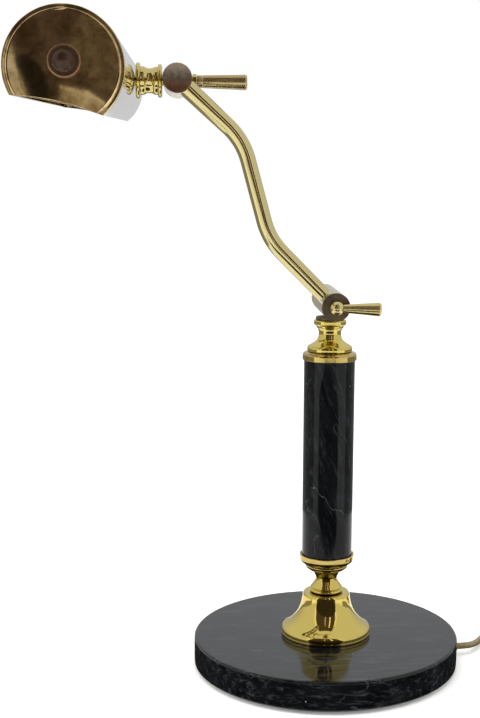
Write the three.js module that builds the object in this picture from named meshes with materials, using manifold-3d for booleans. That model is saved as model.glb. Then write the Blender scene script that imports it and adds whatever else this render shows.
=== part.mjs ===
// Jointed desk lamp with a marble foot and column and a brass arm and shade.
// Millimetres, +Z up. The origin is the middle of the felt underside, on the table.
// +X points from the shade's side of the column to the cord's side, and +Y away from the sitter.
import * as THREE from "three";
import { mergeVertices } from "three/addons/utils/BufferGeometryUtils.js";
import Module from "manifold-3d";

const wasm = await Module();
wasm.setup();

// ---------------------------------------------------------------- driving dimensions
const GAP = 0.3; // between pieces that touch
const ROUND = 24; // sides of a turned piece
const FINE_ROUND = 16; // sides of a small turned piece
const WIDE_ROUND = 44; // sides of the foot and the shade's end caps

const FELT = { radius: 94, top: 1.5 };
const BASE = { radius: 99.25, top: 23.5, eased: 1.4 };
const RECESS = { radius: 26, top: 12.8 }; // under the base, for the rod's nut
const ROD = { radius: 4.9, bore: 3.2, bottom: 4, top: 246 };
const ROD_HOLE = 5.3;
const NUT = { flats: 17, bottom: 5.2, top: 10.2 };
const WASHER = { radius: 14, top: 12.5 };

const BELL = { rim: 33.6, rimTop: 28.1, shoulder: 17.9, top: 56, wall: 1.5 };
const WAIST = { bead: 12.4, neck: 8.1, top: 67.4 };
const COLUMN = { radius: 18.8, bottom: 84.3, top: 236 };
const LOWER_COLLAR = { radius: 20.4, top: 85.7 };
const UPPER_COLLAR = { radius: 19.95, bottom: 232.9, top: 239 };
const NECK = { foot: 16.6, narrow: 8.25, flange: 11.95, top: 262.3, socket: 7, socketBottom: 247.3 };
const SPIGOT = { stem: 6.7, boss: 10.6, top: 264.75 };

const JOINT = { radius: 10.15, half: 38, cap: 2.3, split: -14, pin: 3, pinHole: 3.3 };
const LOWER_AXIS = { x: 0, z: 275.2 };
const UPPER_AXIS = { x: -111.2, z: 431.9 };
const ARM = { y: -24, radius: 5.55, topRadius: 6.25, wall: 1.2, bend: 50 };
const ARM_KNEES = [
  [-65.8, 390.8],
  [-47.1, 322.3],
]; // where the straight stretches of the arm would meet, x and z

const LEVER = { ball: 5, root: 2.7, tip: 4.9, reach: 31, droop: 1.5, boltEnd: -45.5, blind: -46 };
const COUPLER = { rod: 3.5, rodHole: 3.9, left: -140.2, right: -121.75 };
const SET_SCREW = { radius: 1.1, x: -132.6, angle: 215, out: 8.4, depth: 2.4 };
const HANDLE = { left: -100.6, collarEnd: -97.6, right: -61.9, collar: 5.3, root: 4.3, tip: 5.4 };
const HANDLE_BORE = { radius: 3.8, end: -91, rodEnd: -92 };

const SHADE = { x: -175.5, z: 432.2, radius: 35, half: 178, wall: 0.9, chord: 22.3 };
const SHADE_ROLL = 11.4; // degrees that the opening is turned away from the column
const SHADE_TILT = 1.4; // degrees that the far end stands higher than the near one
const END_CAP = { edge: 2.2, plate: 1.3, flange: 5, flangeWall: 1 };
const SWITCH = { up: 3.2, ring: 10, ringOut: 2.2, ball: 6.5, ballOut: 8, shaft: 2.5, hole: 3, body: 9 };
const SWITCH_DEPTH = 22; // of the switch's body behind the end cap
const BRACKET = { right: -142.6, thick: 1.5, half: 15.5, height: 14, left: -188 };
const HOLDER = { radius: 13, bore: 7.4, end: 44, bottom: 26, nipple: 4.9, nippleEnd: 11.8 };
const BULB = { radius: 12.5, length: 98, neck: 6.6, cap: 6.9, capStart: 27 };

const CORD = { diameter: 4.8, sides: 10, exitTurn: 4, exitZ: 7.2 }; // exitTurn is degrees from +X
const GROMMET = { inner: 82, outer: 103.6, flange: 4.9, radius: 3.8, tip: 3.1 };
const CORD_CHANNEL = 4.1; // radius of the cord's channel in the base
const COIL = { x: 189, y: 92, inner: 16.6, outer: 36.2, top: 14.5 };
const PLUG = { x: 228.5, y: 2.7, width: 26, height: 13.6, length: 34, neck: 12 };
const PIN = { radius: 2, length: 19, spread: 9.3 };

// The cord's centre line from the strain relief to the coil.
const LEAD_ROUTE = [
  [103.9, 7.3, 7.2],
  [105.7, 7.5, 7.1],
  [110.7, 9.1, 6.8],
  [115.1, 11.9, 6.2],
  [118.4, 15.4, 5.6],
  [121.7, 20.4, 4.7],
  [124.7, 25.8, 3.9],
  [127.6, 31.3, 3.2],
  [131.0, 38.0, 2.6],
  [134.8, 45.6, 2.4],
  [138.6, 53.2, 2.4],
  [142.2, 61.0, 2.4],
  [145.5, 69.0, 2.4],
  [148.4, 76.5, 2.4],
  [150.6, 84.0, 2.4],
];
// The cord's centre line from the coil to the plug.
const TAIL_ROUTE = [
  [226.0, 73.0, 9.6],
  [227.2, 65.0, 7.2],
  [228.0, 56.0, 4.6],
  [228.4, 47.0, 2.9],
  [228.5, 38.0, 2.4],
  [228.5, 29.0, 2.5],
  [228.5, 21.0, 3.5],
  [228.5, 14.0, 5.3],
  [228.5, 8.0, 6.6],
  [228.5, 3.0, 6.8],
];

// ---------------------------------------------------------------- materials
const finish = (color, roughness, metalness) =>
  new THREE.MeshStandardMaterial({ color, roughness, metalness });
const polishedBrass = finish(0xc2b164, 0.18, 1);
const dullBrass = finish(0x7b6958, 0.4, 1);
const darkMarble = finish(0x46474b, 0.25, 0);
const steel = finish(0x9a9ca0, 0.35, 1);
const greenFelt = finish(0x2c3a30, 0.95, 0);
const goldCord = finish(0x8f815e, 0.4, 0);
const blackPlastic = finish(0x1c1b1a, 0.45, 0);
const whiteCeramic = finish(0xe8e4da, 0.4, 0);
const bulbGlass = finish(0xf2f0ea, 0.15, 0);

// ---------------------------------------------------------------- making solids
const radians = THREE.MathUtils.degToRad;

// A geometry as a manifold solid, turned right side out.
function toSolid(geometry) {
  const bare = geometry.clone();
  bare.deleteAttribute("normal");
  bare.deleteAttribute("uv");
  const merged = mergeVertices(bare, 1e-3);
  const vertProperties = new Float32Array(merged.attributes.position.array);
  const triVerts = new Uint32Array(merged.index.array);
  const made = new wasm.Manifold(new wasm.Mesh({ numProp: 3, vertProperties, triVerts }));
  if (made.volume() > 0) return made;
  for (let i = 0; i < triVerts.length; i += 3) {
    [triVerts[i + 1], triVerts[i + 2]] = [triVerts[i + 2], triVerts[i + 1]];
  }
  return new wasm.Manifold(new wasm.Mesh({ numProp: 3, vertProperties, triVerts }));
}

function toGeometry(solid) {
  const mesh = solid.getMesh();
  const geometry = new THREE.BufferGeometry();
  geometry.setAttribute("position", new THREE.BufferAttribute(mesh.vertProperties, 3));
  geometry.setIndex(new THREE.BufferAttribute(mesh.triVerts, 1));
  return geometry;
}

// The first geometry with all the others taken away.
function cut(geometry, ...tools) {
  const left = tools.reduce((solid, tool) => solid.subtract(toSolid(tool)), toSolid(geometry));
  return toGeometry(left);
}

// Two geometries as one.
function join(a, b) {
  return toGeometry(toSolid(a).add(toSolid(b)));
}

// An outline of [radius, height] points turned round the Z axis. It starts and ends on the
// axis, or closes on itself.
function turned(outline, sides = ROUND) {
  const points = outline.map((p) => (Array.isArray(p) ? new THREE.Vector2(p[0], p[1]) : p));
  const geometry = new THREE.LatheGeometry(points, sides).rotateX(Math.PI / 2);
  return toGeometry(toSolid(geometry));
}

// A smooth stretch of an outline through the given [radius, height] points.
function smooth(points, steps) {
  const vectors = points.map(([r, z]) => new THREE.Vector2(r, z));
  return new THREE.SplineCurve(vectors).getPoints(steps);
}

// A quarter round of an outline, about (cx, cz), from one angle to another in degrees.
function roundedCorner(cx, cz, radius, from, to, steps = 4) {
  return Array.from({ length: steps + 1 }, (_, i) => {
    const angle = radians(from + ((to - from) * i) / steps);
    return [cx + radius * Math.cos(angle), cz + radius * Math.sin(angle)];
  });
}

// A tube wall: a ring of rectangular section from z = low to z = high.
function ring(inner, outer, low, high, sides = ROUND) {
  const outline = [
    [inner, low],
    [outer, low],
    [outer, high],
    [inner, high],
    [inner, low],
  ];
  return turned(outline, sides);
}

function disc(radius, low, high, sides = ROUND) {
  const outline = [
    [0, low],
    [radius, low],
    [radius, high],
    [0, high],
  ];
  return turned(outline, sides);
}

// Turns a piece made along Z to lie along Y, its low end towards the sitter.
const alongY = (geometry) => geometry.rotateX(-Math.PI / 2);
// Turns a piece made along Z to lie along X.
const alongX = (geometry) => geometry.rotateY(Math.PI / 2);

// A solid of round section that follows a curve, its radius given by a function of 0 to 1.
function roundAlong(curve, radiusAt, steps, sides) {
  const frames = curve.computeFrenetFrames(steps, false);
  const positions = [];
  for (let i = 0; i <= steps; i++) {
    const centre = curve.getPointAt(i / steps);
    const radius = radiusAt(i / steps);
    for (let j = 0; j < sides; j++) {
      const angle = (2 * Math.PI * j) / sides;
      const point = centre
        .clone()
        .addScaledVector(frames.normals[i], radius * Math.cos(angle))
        .addScaledVector(frames.binormals[i], radius * Math.sin(angle));
      positions.push(point.x, point.y, point.z);
    }
  }
  const index = [];
  for (let i = 0; i < steps; i++) {
    for (let j = 0; j < sides; j++) {
      const a = i * sides + j;
      const b = i * sides + ((j + 1) % sides);
      index.push(a, b, b + sides, a, b + sides, a + sides);
    }
  }
  for (let j = 1; j < sides - 1; j++) {
    const last = steps * sides;
    index.push(0, j + 1, j, last, last + j, last + j + 1);
  }
  const geometry = new THREE.BufferGeometry();
  geometry.setAttribute("position", new THREE.Float32BufferAttribute(positions, 3));
  geometry.setIndex(index);
  return toGeometry(toSolid(geometry));
}

// The cord's plain tube along a list of points.
function cordTube(route) {
  const curve = new THREE.CatmullRomCurve3(route.map((p) => new THREE.Vector3(...p)));
  const steps = Math.ceil(curve.getLength() / (2.5 * CORD.diameter)) + 4;
  const section = new THREE.Shape().absarc(0, 0, CORD.diameter / 2, 0, 2 * Math.PI);
  const options = { steps, curveSegments: CORD.sides, bevelEnabled: false, extrudePath: curve };
  const points = section.getPoints(CORD.sides).slice(0, -1);
  const geometry = new THREE.ExtrudeGeometry(new THREE.Shape(points), options);
  return toGeometry(toSolid(geometry));
}

// ---------------------------------------------------------------- the lamp
const lamp = new THREE.Group();

function add(group, name, geometry, material) {
  const mesh = new THREE.Mesh(geometry, material);
  mesh.name = name;
  group.add(mesh);
}

// ------------------------------------------------ foot and column
// Lays a piece made along Z on the line by which the cord leaves the foot.
function onExitAxis(geometry) {
  return alongX(geometry).rotateZ(radians(CORD.exitTurn)).translate(0, 0, CORD.exitZ);
}

function marbleBase() {
  const { radius, top, eased } = BASE;
  const low = FELT.top + GAP;
  const blank = turned(
    [
      [ROD_HOLE, RECESS.top],
      [RECESS.radius, RECESS.top],
      [RECESS.radius, low],
      [radius - eased, low],
      [radius, low + eased],
      ...roundedCorner(radius - eased, top - eased, eased, 0, 90),
      [ROD_HOLE, top],
      [ROD_HOLE, RECESS.top],
    ],
    WIDE_ROUND,
  );
  return cut(blank, onExitAxis(disc(CORD_CHANNEL, RECESS.radius - 4, radius + 1, 16)));
}

function bellFoot() {
  const { rim, rimTop, shoulder, top, wall } = BELL;
  const low = BASE.top + GAP;
  const flank = [
    [rim - 0.9, rimTop + 1.7],
    [29.8, 33],
    [26.5, 36.5],
    [24, 40.1],
    [20.4, 46.4],
    [18.6, 51.4],
    [shoulder, 54.9],
  ];
  return turned([
    [rim - 0.2, low],
    [rim - 0.2, low + 1.5],
    [rim - 0.6, low + 1.8],
    [rim, low + 2.2],
    [rim, rimTop],
    ...smooth(flank, 9),
    [shoulder - 1.1, top],
    [ROD_HOLE, top],
    [ROD_HOLE, top - wall],
    [shoulder - 2.4, top - wall],
    ...smooth(flank.map(([r, z]) => [r - wall, z - 0.4]).reverse(), 5),
    [rim - wall - 0.5, low],
    [rim - 0.2, low],
  ]);
}

function waistBead() {
  const { bead, neck, top } = WAIST;
  const low = BELL.top + GAP;
  const flank = [
    [11, low + 2.6],
    [9.6, 61],
    [8.4, 63.8],
    [neck, 65.6],
    [neck, top],
  ];
  return turned([
    [ROD_HOLE, low],
    ...roundedCorner(bead - 1.15, low + 1.15, 1.15, -90, 90, 4),
    ...smooth(flank, 6),
    [ROD_HOLE, top],
    [ROD_HOLE, low],
  ]);
}

function lowerCollar() {
  const low = WAIST.top + GAP;
  const { radius, top } = LOWER_COLLAR;
  const seat = COLUMN.bottom - GAP;
  return turned([
    [ROD_HOLE, low],
    [8.4, low],
    [9.9, low + 1.4],
    [10.3, low + 2.3],
    ...smooth(
      [
        [12.4, 71.5],
        [15.2, 73.3],
        [17, 75.2],
      ],
      4,
    ),
    [17.2, 76.1],
    [16.9, 76.5],
    [18.4, 77.2],
    [18.9, 78.5],
    [18.9, 79.5],
    [19.9, 79.9],
    [radius, 80.7],
    [radius, top - 0.3],
    [radius - 0.3, top],
    [COLUMN.radius + 0.5, top],
    [COLUMN.radius + 0.5, seat],
    [ROD_HOLE, seat],
    [ROD_HOLE, low],
  ]);
}

function upperCollar() {
  const { radius, bottom, top } = UPPER_COLLAR;
  const seat = COLUMN.top + GAP;
  return turned([
    [COLUMN.radius + GAP, bottom],
    [radius, bottom],
    [radius, top - 2],
    [radius - 1, top - 0.7],
    [radius - 3, top],
    [ROD_HOLE, top],
    [ROD_HOLE, seat],
    [COLUMN.radius + GAP, seat],
    [COLUMN.radius + GAP, bottom],
  ]);
}

function neck() {
  const low = UPPER_COLLAR.top + GAP;
  const { foot, narrow, flange, top, socket, socketBottom } = NECK;
  const flank = [
    [14.2, 244.2],
    [10.8, 246.4],
    [8.9, 248.7],
    [narrow, 252],
    [8.5, 254.6],
    [9.4, 256.5],
    [11.2, 258.2],
  ];
  return turned([
    [ROD_HOLE, low],
    [foot - 0.3, low],
    [foot, low + 0.7],
    [foot, 242],
    [15.9, 243.3],
    ...smooth(flank, 8),
    [flange, 259.3],
    [flange, top - 0.8],
    [flange - 0.4, top],
    [socket, top],
    [socket, socketBottom],
    [ROD_HOLE, socketBottom],
    [ROD_HOLE, low],
  ]);
}

function hexNut(flats, low, high, hole) {
  const blank = new THREE.CylinderGeometry(flats / Math.sqrt(3), flats / Math.sqrt(3), high - low, 6)
    .rotateX(Math.PI / 2)
    .translate(0, 0, (low + high) / 2);
  return cut(blank, disc(hole, low - 1, high + 1, 20));
}

function strainRelief() {
  const { inner, outer, flange, radius, tip } = GROMMET;
  const hole = CORD.diameter / 2 + GAP;
  const outline = [
    [hole, inner],
    [radius, inner],
    [radius, BASE.radius + GAP],
    [flange, BASE.radius + GAP],
    [flange, BASE.radius + 1.3],
    [radius, BASE.radius + 1.9],
    [tip, outer],
    [hole, outer],
    [hole, inner],
  ];
  return onExitAxis(turned(outline, 16));
}

add(lamp, "felt_pad", disc(FELT.radius, 0, FELT.top, WIDE_ROUND), greenFelt);
add(lamp, "marble_base", marbleBase(), darkMarble);
add(lamp, "rod_nut", hexNut(NUT.flats, NUT.bottom, NUT.top, ROD_HOLE), steel);
add(lamp, "rod_washer", ring(ROD_HOLE, WASHER.radius, NUT.top + GAP, WASHER.top, 24), steel);
add(lamp, "threaded_rod", ring(ROD.bore, ROD.radius, ROD.bottom, ROD.top, 20), steel);
add(lamp, "bell_foot", bellFoot(), polishedBrass);
add(lamp, "waist_bead", waistBead(), polishedBrass);
add(lamp, "lower_collar", lowerCollar(), polishedBrass);
const columnWall = ring(ROD_HOLE, COLUMN.radius, COLUMN.bottom, COLUMN.top);
add(lamp, "marble_column", columnWall, darkMarble);
add(lamp, "upper_collar", upperCollar(), polishedBrass);
add(lamp, "turned_neck", neck(), polishedBrass);
add(lamp, "strain_relief", strainRelief(), goldCord);

// ------------------------------------------------ the two barrel joints
// Rear barrel, rear cap, front knuckle and front cap share one axis along Y.
function frontCap(hole) {
  const { radius, half, cap } = JOINT;
  const outline = [
    [hole, -half],
    ...roundedCorner(radius - 0.5, -half + 0.5, 0.5, -90, 0, 2),
    [radius, cap - half],
    [hole, cap - half],
  ];
  if (hole > 0) outline.push([hole, -half]);
  return alongY(turned(outline, FINE_ROUND + 4));
}

function rearCap() {
  const { radius, half, cap } = JOINT;
  const outline = [
    [0, half - cap],
    [radius, half - cap],
    ...roundedCorner(radius - 0.5, half - 0.5, 0.5, 0, 90, 2),
    [0, half],
  ];
  return alongY(turned(outline, FINE_ROUND + 4));
}

const knuckle = () =>
  alongY(ring(JOINT.pinHole, JOINT.radius, JOINT.cap - JOINT.half + GAP, JOINT.split, FINE_ROUND + 4));
const rearBarrel = () =>
  alongY(ring(JOINT.pinHole, JOINT.radius, JOINT.split + GAP, JOINT.half - JOINT.cap - GAP, FINE_ROUND + 4));

const lowerJoint = new THREE.Group();
lowerJoint.position.set(LOWER_AXIS.x, 0, LOWER_AXIS.z);
lamp.add(lowerJoint);
const upperJoint = new THREE.Group();
upperJoint.position.set(UPPER_AXIS.x, 0, UPPER_AXIS.z);
lamp.add(upperJoint);

function swivelSpigot() {
  const low = NECK.socketBottom + GAP;
  const flangeTop = NECK.top + GAP;
  return turned(
    [
      [0, low],
      [SPIGOT.stem, low],
      [SPIGOT.stem, flangeTop],
      [SPIGOT.boss, flangeTop],
      [SPIGOT.boss, SPIGOT.top],
      [0, SPIGOT.top],
    ],
    ROUND,
  );
}

add(lamp, "swivel_spigot", swivelSpigot(), dullBrass);
add(lowerJoint, "lower_barrel", rearBarrel(), polishedBrass);
add(lowerJoint, "lower_rear_cap", rearCap(), polishedBrass);
const lowerBolt = disc(JOINT.pin, LEVER.boltEnd, JOINT.half - JOINT.cap - GAP, 20);
add(lowerJoint, "lower_bolt", alongY(lowerBolt), steel);
add(lowerJoint, "lower_knuckle", knuckle(), polishedBrass);
add(lowerJoint, "lower_front_cap", frontCap(JOINT.pinHole), dullBrass);

add(upperJoint, "upper_knuckle", knuckle(), polishedBrass);
add(upperJoint, "upper_front_cap", frontCap(0), dullBrass);
const crossBore = alongX(disc(COUPLER.rodHole, -JOINT.radius - 1, JOINT.radius + 1, 20));
add(upperJoint, "upper_barrel", cut(rearBarrel(), crossBore), polishedBrass);
add(upperJoint, "upper_rear_cap", rearCap(), polishedBrass);
const upperPin = disc(JOINT.pin, JOINT.cap - JOINT.half + GAP, -COUPLER.rodHole - 2, 20);
add(upperJoint, "upper_pin", alongY(upperPin), steel);

// ------------------------------------------------ arm
// Straight stretches joined by arcs of one bending radius, in a plane parallel to XZ.
function armCurve() {
  const corners = [[UPPER_AXIS.x, UPPER_AXIS.z], ...ARM_KNEES, [LOWER_AXIS.x, LOWER_AXIS.z]];
  const points = corners.map(([x, z]) => new THREE.Vector2(x, z));
  const path = new THREE.CurvePath();
  const at = (p) => new THREE.Vector3(p.x, ARM.y, p.y);
  let from = points[0];
  for (let i = 1; i < points.length - 1; i++) {
    const back = points[i - 1].clone().sub(points[i]).normalize();
    const onward = points[i + 1].clone().sub(points[i]).normalize();
    const halfTurn = (Math.PI - back.angleTo(onward)) / 2;
    const tangent = ARM.bend * Math.tan(halfTurn);
    const start = points[i].clone().addScaledVector(back, tangent);
    const end = points[i].clone().addScaledVector(onward, tangent);
    path.add(new THREE.LineCurve3(at(from), at(start)));
    path.add(new THREE.QuadraticBezierCurve3(at(start), at(points[i]), at(end)));
    from = end;
  }
  path.add(new THREE.LineCurve3(at(from), at(points.at(-1))));
  return path;
}

function armTube() {
  const curve = armCurve();
  const slimBy = 0.42; // share of its length in which the tube tapers to its lower radius
  const taper = (u) => {
    const share = Math.min(u / slimBy, 1);
    return ARM.topRadius + (ARM.radius - ARM.topRadius) * share * share * (3 - 2 * share);
  };
  const outside = roundAlong(curve, taper, 26, 14);
  const inside = roundAlong(curve, (u) => taper(u) - ARM.wall, 26, 8);
  const saddle = (axis) => {
    const round = disc(JOINT.radius + GAP, -JOINT.half, JOINT.half, ROUND);
    return alongY(round).translate(axis.x, 0, axis.z);
  };
  return cut(outside, inside, saddle(UPPER_AXIS), saddle(LOWER_AXIS));
}

add(lamp, "arm_tube", armTube(), polishedBrass);

// ------------------------------------------------ clamp lever of the lower joint
const leverGroup = new THREE.Group();
leverGroup.rotation.y = radians(LEVER.droop);
lowerJoint.add(leverGroup);
const ballY = -JOINT.half - GAP - LEVER.ball + 0.7;

function ballNut() {
  const ball = new THREE.SphereGeometry(LEVER.ball, 18, 12).rotateX(Math.PI / 2);
  const behind = disc(LEVER.ball + 1, -JOINT.half - GAP, -JOINT.half + 4, 8);
  const blind = disc(JOINT.pinHole, LEVER.blind, -JOINT.half + 5, 20);
  return cut(ball.translate(0, ballY, 0), alongY(behind), alongY(blind));
}

function leverBar() {
  const { root, tip, reach, ball } = LEVER;
  const outline = [
    [0, 1],
    [root, 1],
    [tip, reach - 2.6],
    [tip - 0.6, reach - 1],
    [tip - 2, reach],
    [0, reach],
  ];
  const bar = alongX(turned(outline, 20)).translate(0, ballY, 0);
  const socket = new THREE.SphereGeometry(ball + GAP, 18, 12).rotateX(Math.PI / 2);
  return cut(bar, socket.translate(0, ballY, 0));
}

add(leverGroup, "clamp_ball_nut", ballNut(), polishedBrass);
add(leverGroup, "clamp_lever", leverBar(), polishedBrass);

// ------------------------------------------------ shade coupler and handle, along X
function coupler() {
  const { rod, left, right } = COUPLER;
  const spool = [
    [9.9, left + 3.3],
    [9.9, left + 5.6],
    [9, left + 7.2],
    [8.6, left + 9.5],
    [8.9, left + 11.6],
    [9.7, left + 13.2],
    [9.7, left + 14.7],
  ];
  return turned(
    [
      [0, -149],
      [rod, -149],
      [rod, left],
      [12.2, left],
      [12.6, left + 0.5],
      [12.6, left + 2.7],
      [12.1, left + 3.2],
      ...smooth(spool, 7),
      [11.3, left + 15],
      [11.7, left + 15.6],
      [11.7, right - 0.5],
      [11.3, right],
      [rod, right],
      [rod, HANDLE_BORE.rodEnd],
      [0, HANDLE_BORE.rodEnd],
    ],
    ROUND,
  );
}

function handleCollar() {
  const { left, collarEnd, collar } = HANDLE;
  return ring(HANDLE_BORE.radius, collar, left, collarEnd, FINE_ROUND);
}

function handle() {
  const { collarEnd, right, root, tip } = HANDLE;
  const start = collarEnd + GAP;
  return turned(
    [
      [0, HANDLE_BORE.end],
      [HANDLE_BORE.radius, HANDLE_BORE.end],
      [HANDLE_BORE.radius, start],
      [root, start],
      [tip, right - 1.2],
      [tip - 0.5, right - 0.3],
      [tip - 1.2, right],
      [0, right],
    ],
    FINE_ROUND,
  );
}

// The coupler, the handle and the shade turn together about this axis along X.
const head = new THREE.Group();
head.position.set(0, 0, UPPER_AXIS.z);
head.rotation.x = radians(SHADE_TILT);
lamp.add(head);

// The set screw points outwards from the coupler's axis at its own angle.
const screwAngle = radians(SET_SCREW.angle);
function placeSetScrew(geometry) {
  return geometry.rotateX(screwAngle).translate(SET_SCREW.x, 0, 0);
}
const { radius: screwRadius, out: screwOut, depth: screwDepth } = SET_SCREW;
const screwHole = placeSetScrew(disc(screwRadius + GAP, screwOut - screwDepth - GAP, 14, 12));
const setScrew = placeSetScrew(disc(screwRadius, screwOut - screwDepth, screwOut - 0.2, 12));
add(head, "shade_coupler", cut(alongX(coupler()), screwHole), polishedBrass);
add(head, "coupler_set_screw", setScrew, steel);
add(head, "handle_collar", alongX(handleCollar()), polishedBrass);
add(head, "shade_handle", alongX(handle()), polishedBrass);

// ------------------------------------------------ shade
// Made along Z about its own axis and laid along Y, with the opening towards -Z, then rolled.
const shadeUp = SHADE.z - UPPER_AXIS.z;
function placeInShade(geometry) {
  return alongY(geometry).rotateY(radians(SHADE_ROLL)).translate(SHADE.x, 0, shadeUp);
}

const openHalfAngle = Math.acos(SHADE.chord / SHADE.radius);

function shadeShell() {
  const { radius, wall, half } = SHADE;
  const from = openHalfAngle + GAP / radius;
  // Laying the extrusion along Y turns its +Y to -Z, so the opening is drawn at the top.
  const start = Math.PI / 2 + from;
  const end = Math.PI / 2 - from + 2 * Math.PI;
  const section = new THREE.Shape();
  section.absarc(0, 0, radius, start, end, false);
  section.absarc(0, 0, radius - wall, end, start, true);
  const low = -half + END_CAP.edge + 0.5 + GAP;
  const options = { depth: -2 * low, bevelEnabled: false, curveSegments: 32 };
  const sheet = new THREE.ExtrudeGeometry(section, options).translate(0, 0, low);
  const hole = alongX(disc(COUPLER.rod + GAP, -150, COUPLER.left, 20));
  return cut(placeInShade(sheet), hole);
}

function endCap(hole) {
  const { radius, half, wall, chord } = SHADE;
  const { edge, plate, flange, flangeWall } = END_CAP;
  const inside = radius - wall - GAP;
  const pan = turned(
    [
      [0, -half],
      ...roundedCorner(radius - edge, edge - half, edge, -90, 0, 5),
      [radius, edge + 0.5 - half],
      [inside, edge + 0.5 - half],
      [inside, edge + 0.5 + flange - half],
      [inside - flangeWall, edge + 0.5 + flange - half],
      [inside - flangeWall, plate + 0.6 - half],
      [0, plate - half],
    ],
    WIDE_ROUND,
  );
  const below = new THREE.BoxGeometry(4 * radius, 2 * radius, 40);
  const tools = [below.translate(0, chord + radius, -half + 10)];
  if (hole > 0) {
    tools.push(disc(hole, -half - 1, -half + 5, 20).translate(0, -SWITCH.up, 0));
  }
  return cut(pan, ...tools);
}

const nearCap = placeInShade(endCap(SWITCH.hole));
// The far cap is the near one without its hole, turned round end for end.
const farCap = alongY(endCap(0)).rotateZ(Math.PI);
const farCapPlaced = farCap.rotateY(radians(SHADE_ROLL)).translate(SHADE.x, 0, shadeUp);
add(head, "shade_shell", shadeShell(), polishedBrass);
add(head, "near_end_cap", nearCap, polishedBrass);
add(head, "far_end_cap", farCapPlaced, polishedBrass);

// ------------------------------------------------ switch in the near end cap
const onSwitchAxis = (geometry) => placeInShade(geometry.translate(0, -SWITCH.up, 0));

function switchRing() {
  const { ring: outer, ringOut, shaft } = SWITCH;
  const front = -SHADE.half - GAP;
  return turned(
    [
      [shaft + 0.5, front],
      [outer, front],
      [outer, front - 0.6],
      [outer - 0.9, front - ringOut + 0.3],
      [outer - 2.2, front - ringOut],
      [outer - 3.4, front - ringOut + 0.9],
      [shaft + 0.5, front - ringOut + 1.1],
      [shaft + 0.5, front],
    ],
    FINE_ROUND,
  );
}

function switchKnob() {
  const { ball, ballOut, shaft } = SWITCH;
  const centre = -SHADE.half - ballOut;
  const knob = new THREE.SphereGeometry(ball, 18, 12).rotateX(Math.PI / 2).translate(0, 0, centre);
  return join(knob, disc(shaft, centre, -SHADE.half + END_CAP.plate + GAP, 16));
}

const switchFront = -SHADE.half + END_CAP.plate + 2 * GAP;
const switchBody = disc(SWITCH.body, switchFront, switchFront + SWITCH_DEPTH, 24);
add(head, "switch_body", onSwitchAxis(switchBody), blackPlastic);
add(head, "switch_ring", onSwitchAxis(switchRing()), polishedBrass);
add(head, "switch_knob", onSwitchAxis(switchKnob()), polishedBrass);

// ------------------------------------------------ inside the shade
// A U-shaped strap held by the coupler's nut carries two lampholders, back to back.
function lampBracket() {
  const { right, thick, half, height, left } = BRACKET;
  const depth = right - left;
  const outer = new THREE.BoxGeometry(depth, 2 * half, height);
  const inner = new THREE.BoxGeometry(depth, 2 * (half - thick), height + 2);
  const strap = cut(
    outer.translate((left + right) / 2, 0, 0),
    inner.translate((left + right) / 2 - thick, 0, 0),
  );
  const stud = alongX(disc(COUPLER.rod + GAP, right - thick - 1, right + 1, 20));
  const nipples = alongY(disc(HOLDER.nipple + GAP, -half - 1, half + 1, 20));
  return cut(strap, stud, nipples.translate(SHADE.x, 0, shadeUp));
}

const nutRight = BRACKET.right - BRACKET.thick - GAP;
const couplerNut = hexNut(13, nutRight - 3.5, nutRight, COUPLER.rod + GAP);
add(head, "lamp_bracket", lampBracket(), steel);
add(head, "coupler_nut", alongX(couplerNut), steel);

function lampholder() {
  const { radius, bore, end, bottom, nipple, nippleEnd } = HOLDER;
  const foot = BRACKET.half + GAP;
  return turned(
    [
      [0, nippleEnd],
      [nipple, nippleEnd],
      [nipple, foot],
      [radius - 1, foot],
      [radius, foot + 1],
      [radius, end],
      [bore, end],
      [bore, bottom],
      [0, bottom],
    ],
    24,
  );
}

function bulbCap() {
  const { cap, capStart } = BULB;
  return turned(
    [
      [0, capStart],
      [3, capStart],
      [cap, capStart + 3],
      [cap, HOLDER.end + 1],
      [0, HOLDER.end + 1],
    ],
    20,
  );
}

function bulbEnvelope() {
  const { radius, length, neck: neckRadius } = BULB;
  const start = HOLDER.end + 1 + GAP;
  const end = start + length;
  return turned(
    [
      [0, start],
      [neckRadius, start],
      [neckRadius, start + 3],
      ...smooth(
        [
          [neckRadius + 1.4, start + 6],
          [radius - 0.8, start + 12],
          [radius, start + 16],
        ],
        4,
      ),
      ...roundedCorner(radius - 8, end - 8, 8, 0, 90, 4),
      [0, end],
    ],
    24,
  );
}

for (const [side, direction] of [
  ["near", Math.PI],
  ["far", 0],
]) {
  const place = (geometry) => alongY(geometry).rotateZ(direction).translate(SHADE.x, 0, shadeUp);
  add(head, `${side}_lampholder`, place(lampholder()), whiteCeramic);
  add(head, `${side}_bulb_cap`, place(bulbCap()), steel);
  add(head, `${side}_bulb_envelope`, place(bulbEnvelope()), bulbGlass);
}

// ------------------------------------------------ cord and plug
add(lamp, "cord_lead", cordTube(LEAD_ROUTE), goldCord);
const coilRing = ring(COIL.inner, COIL.outer, 0.2, COIL.top, 36);
add(lamp, "cord_coil", coilRing.translate(COIL.x, COIL.y, 0), goldCord);
add(lamp, "cord_tail", cordTube(TAIL_ROUTE), goldCord);

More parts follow.
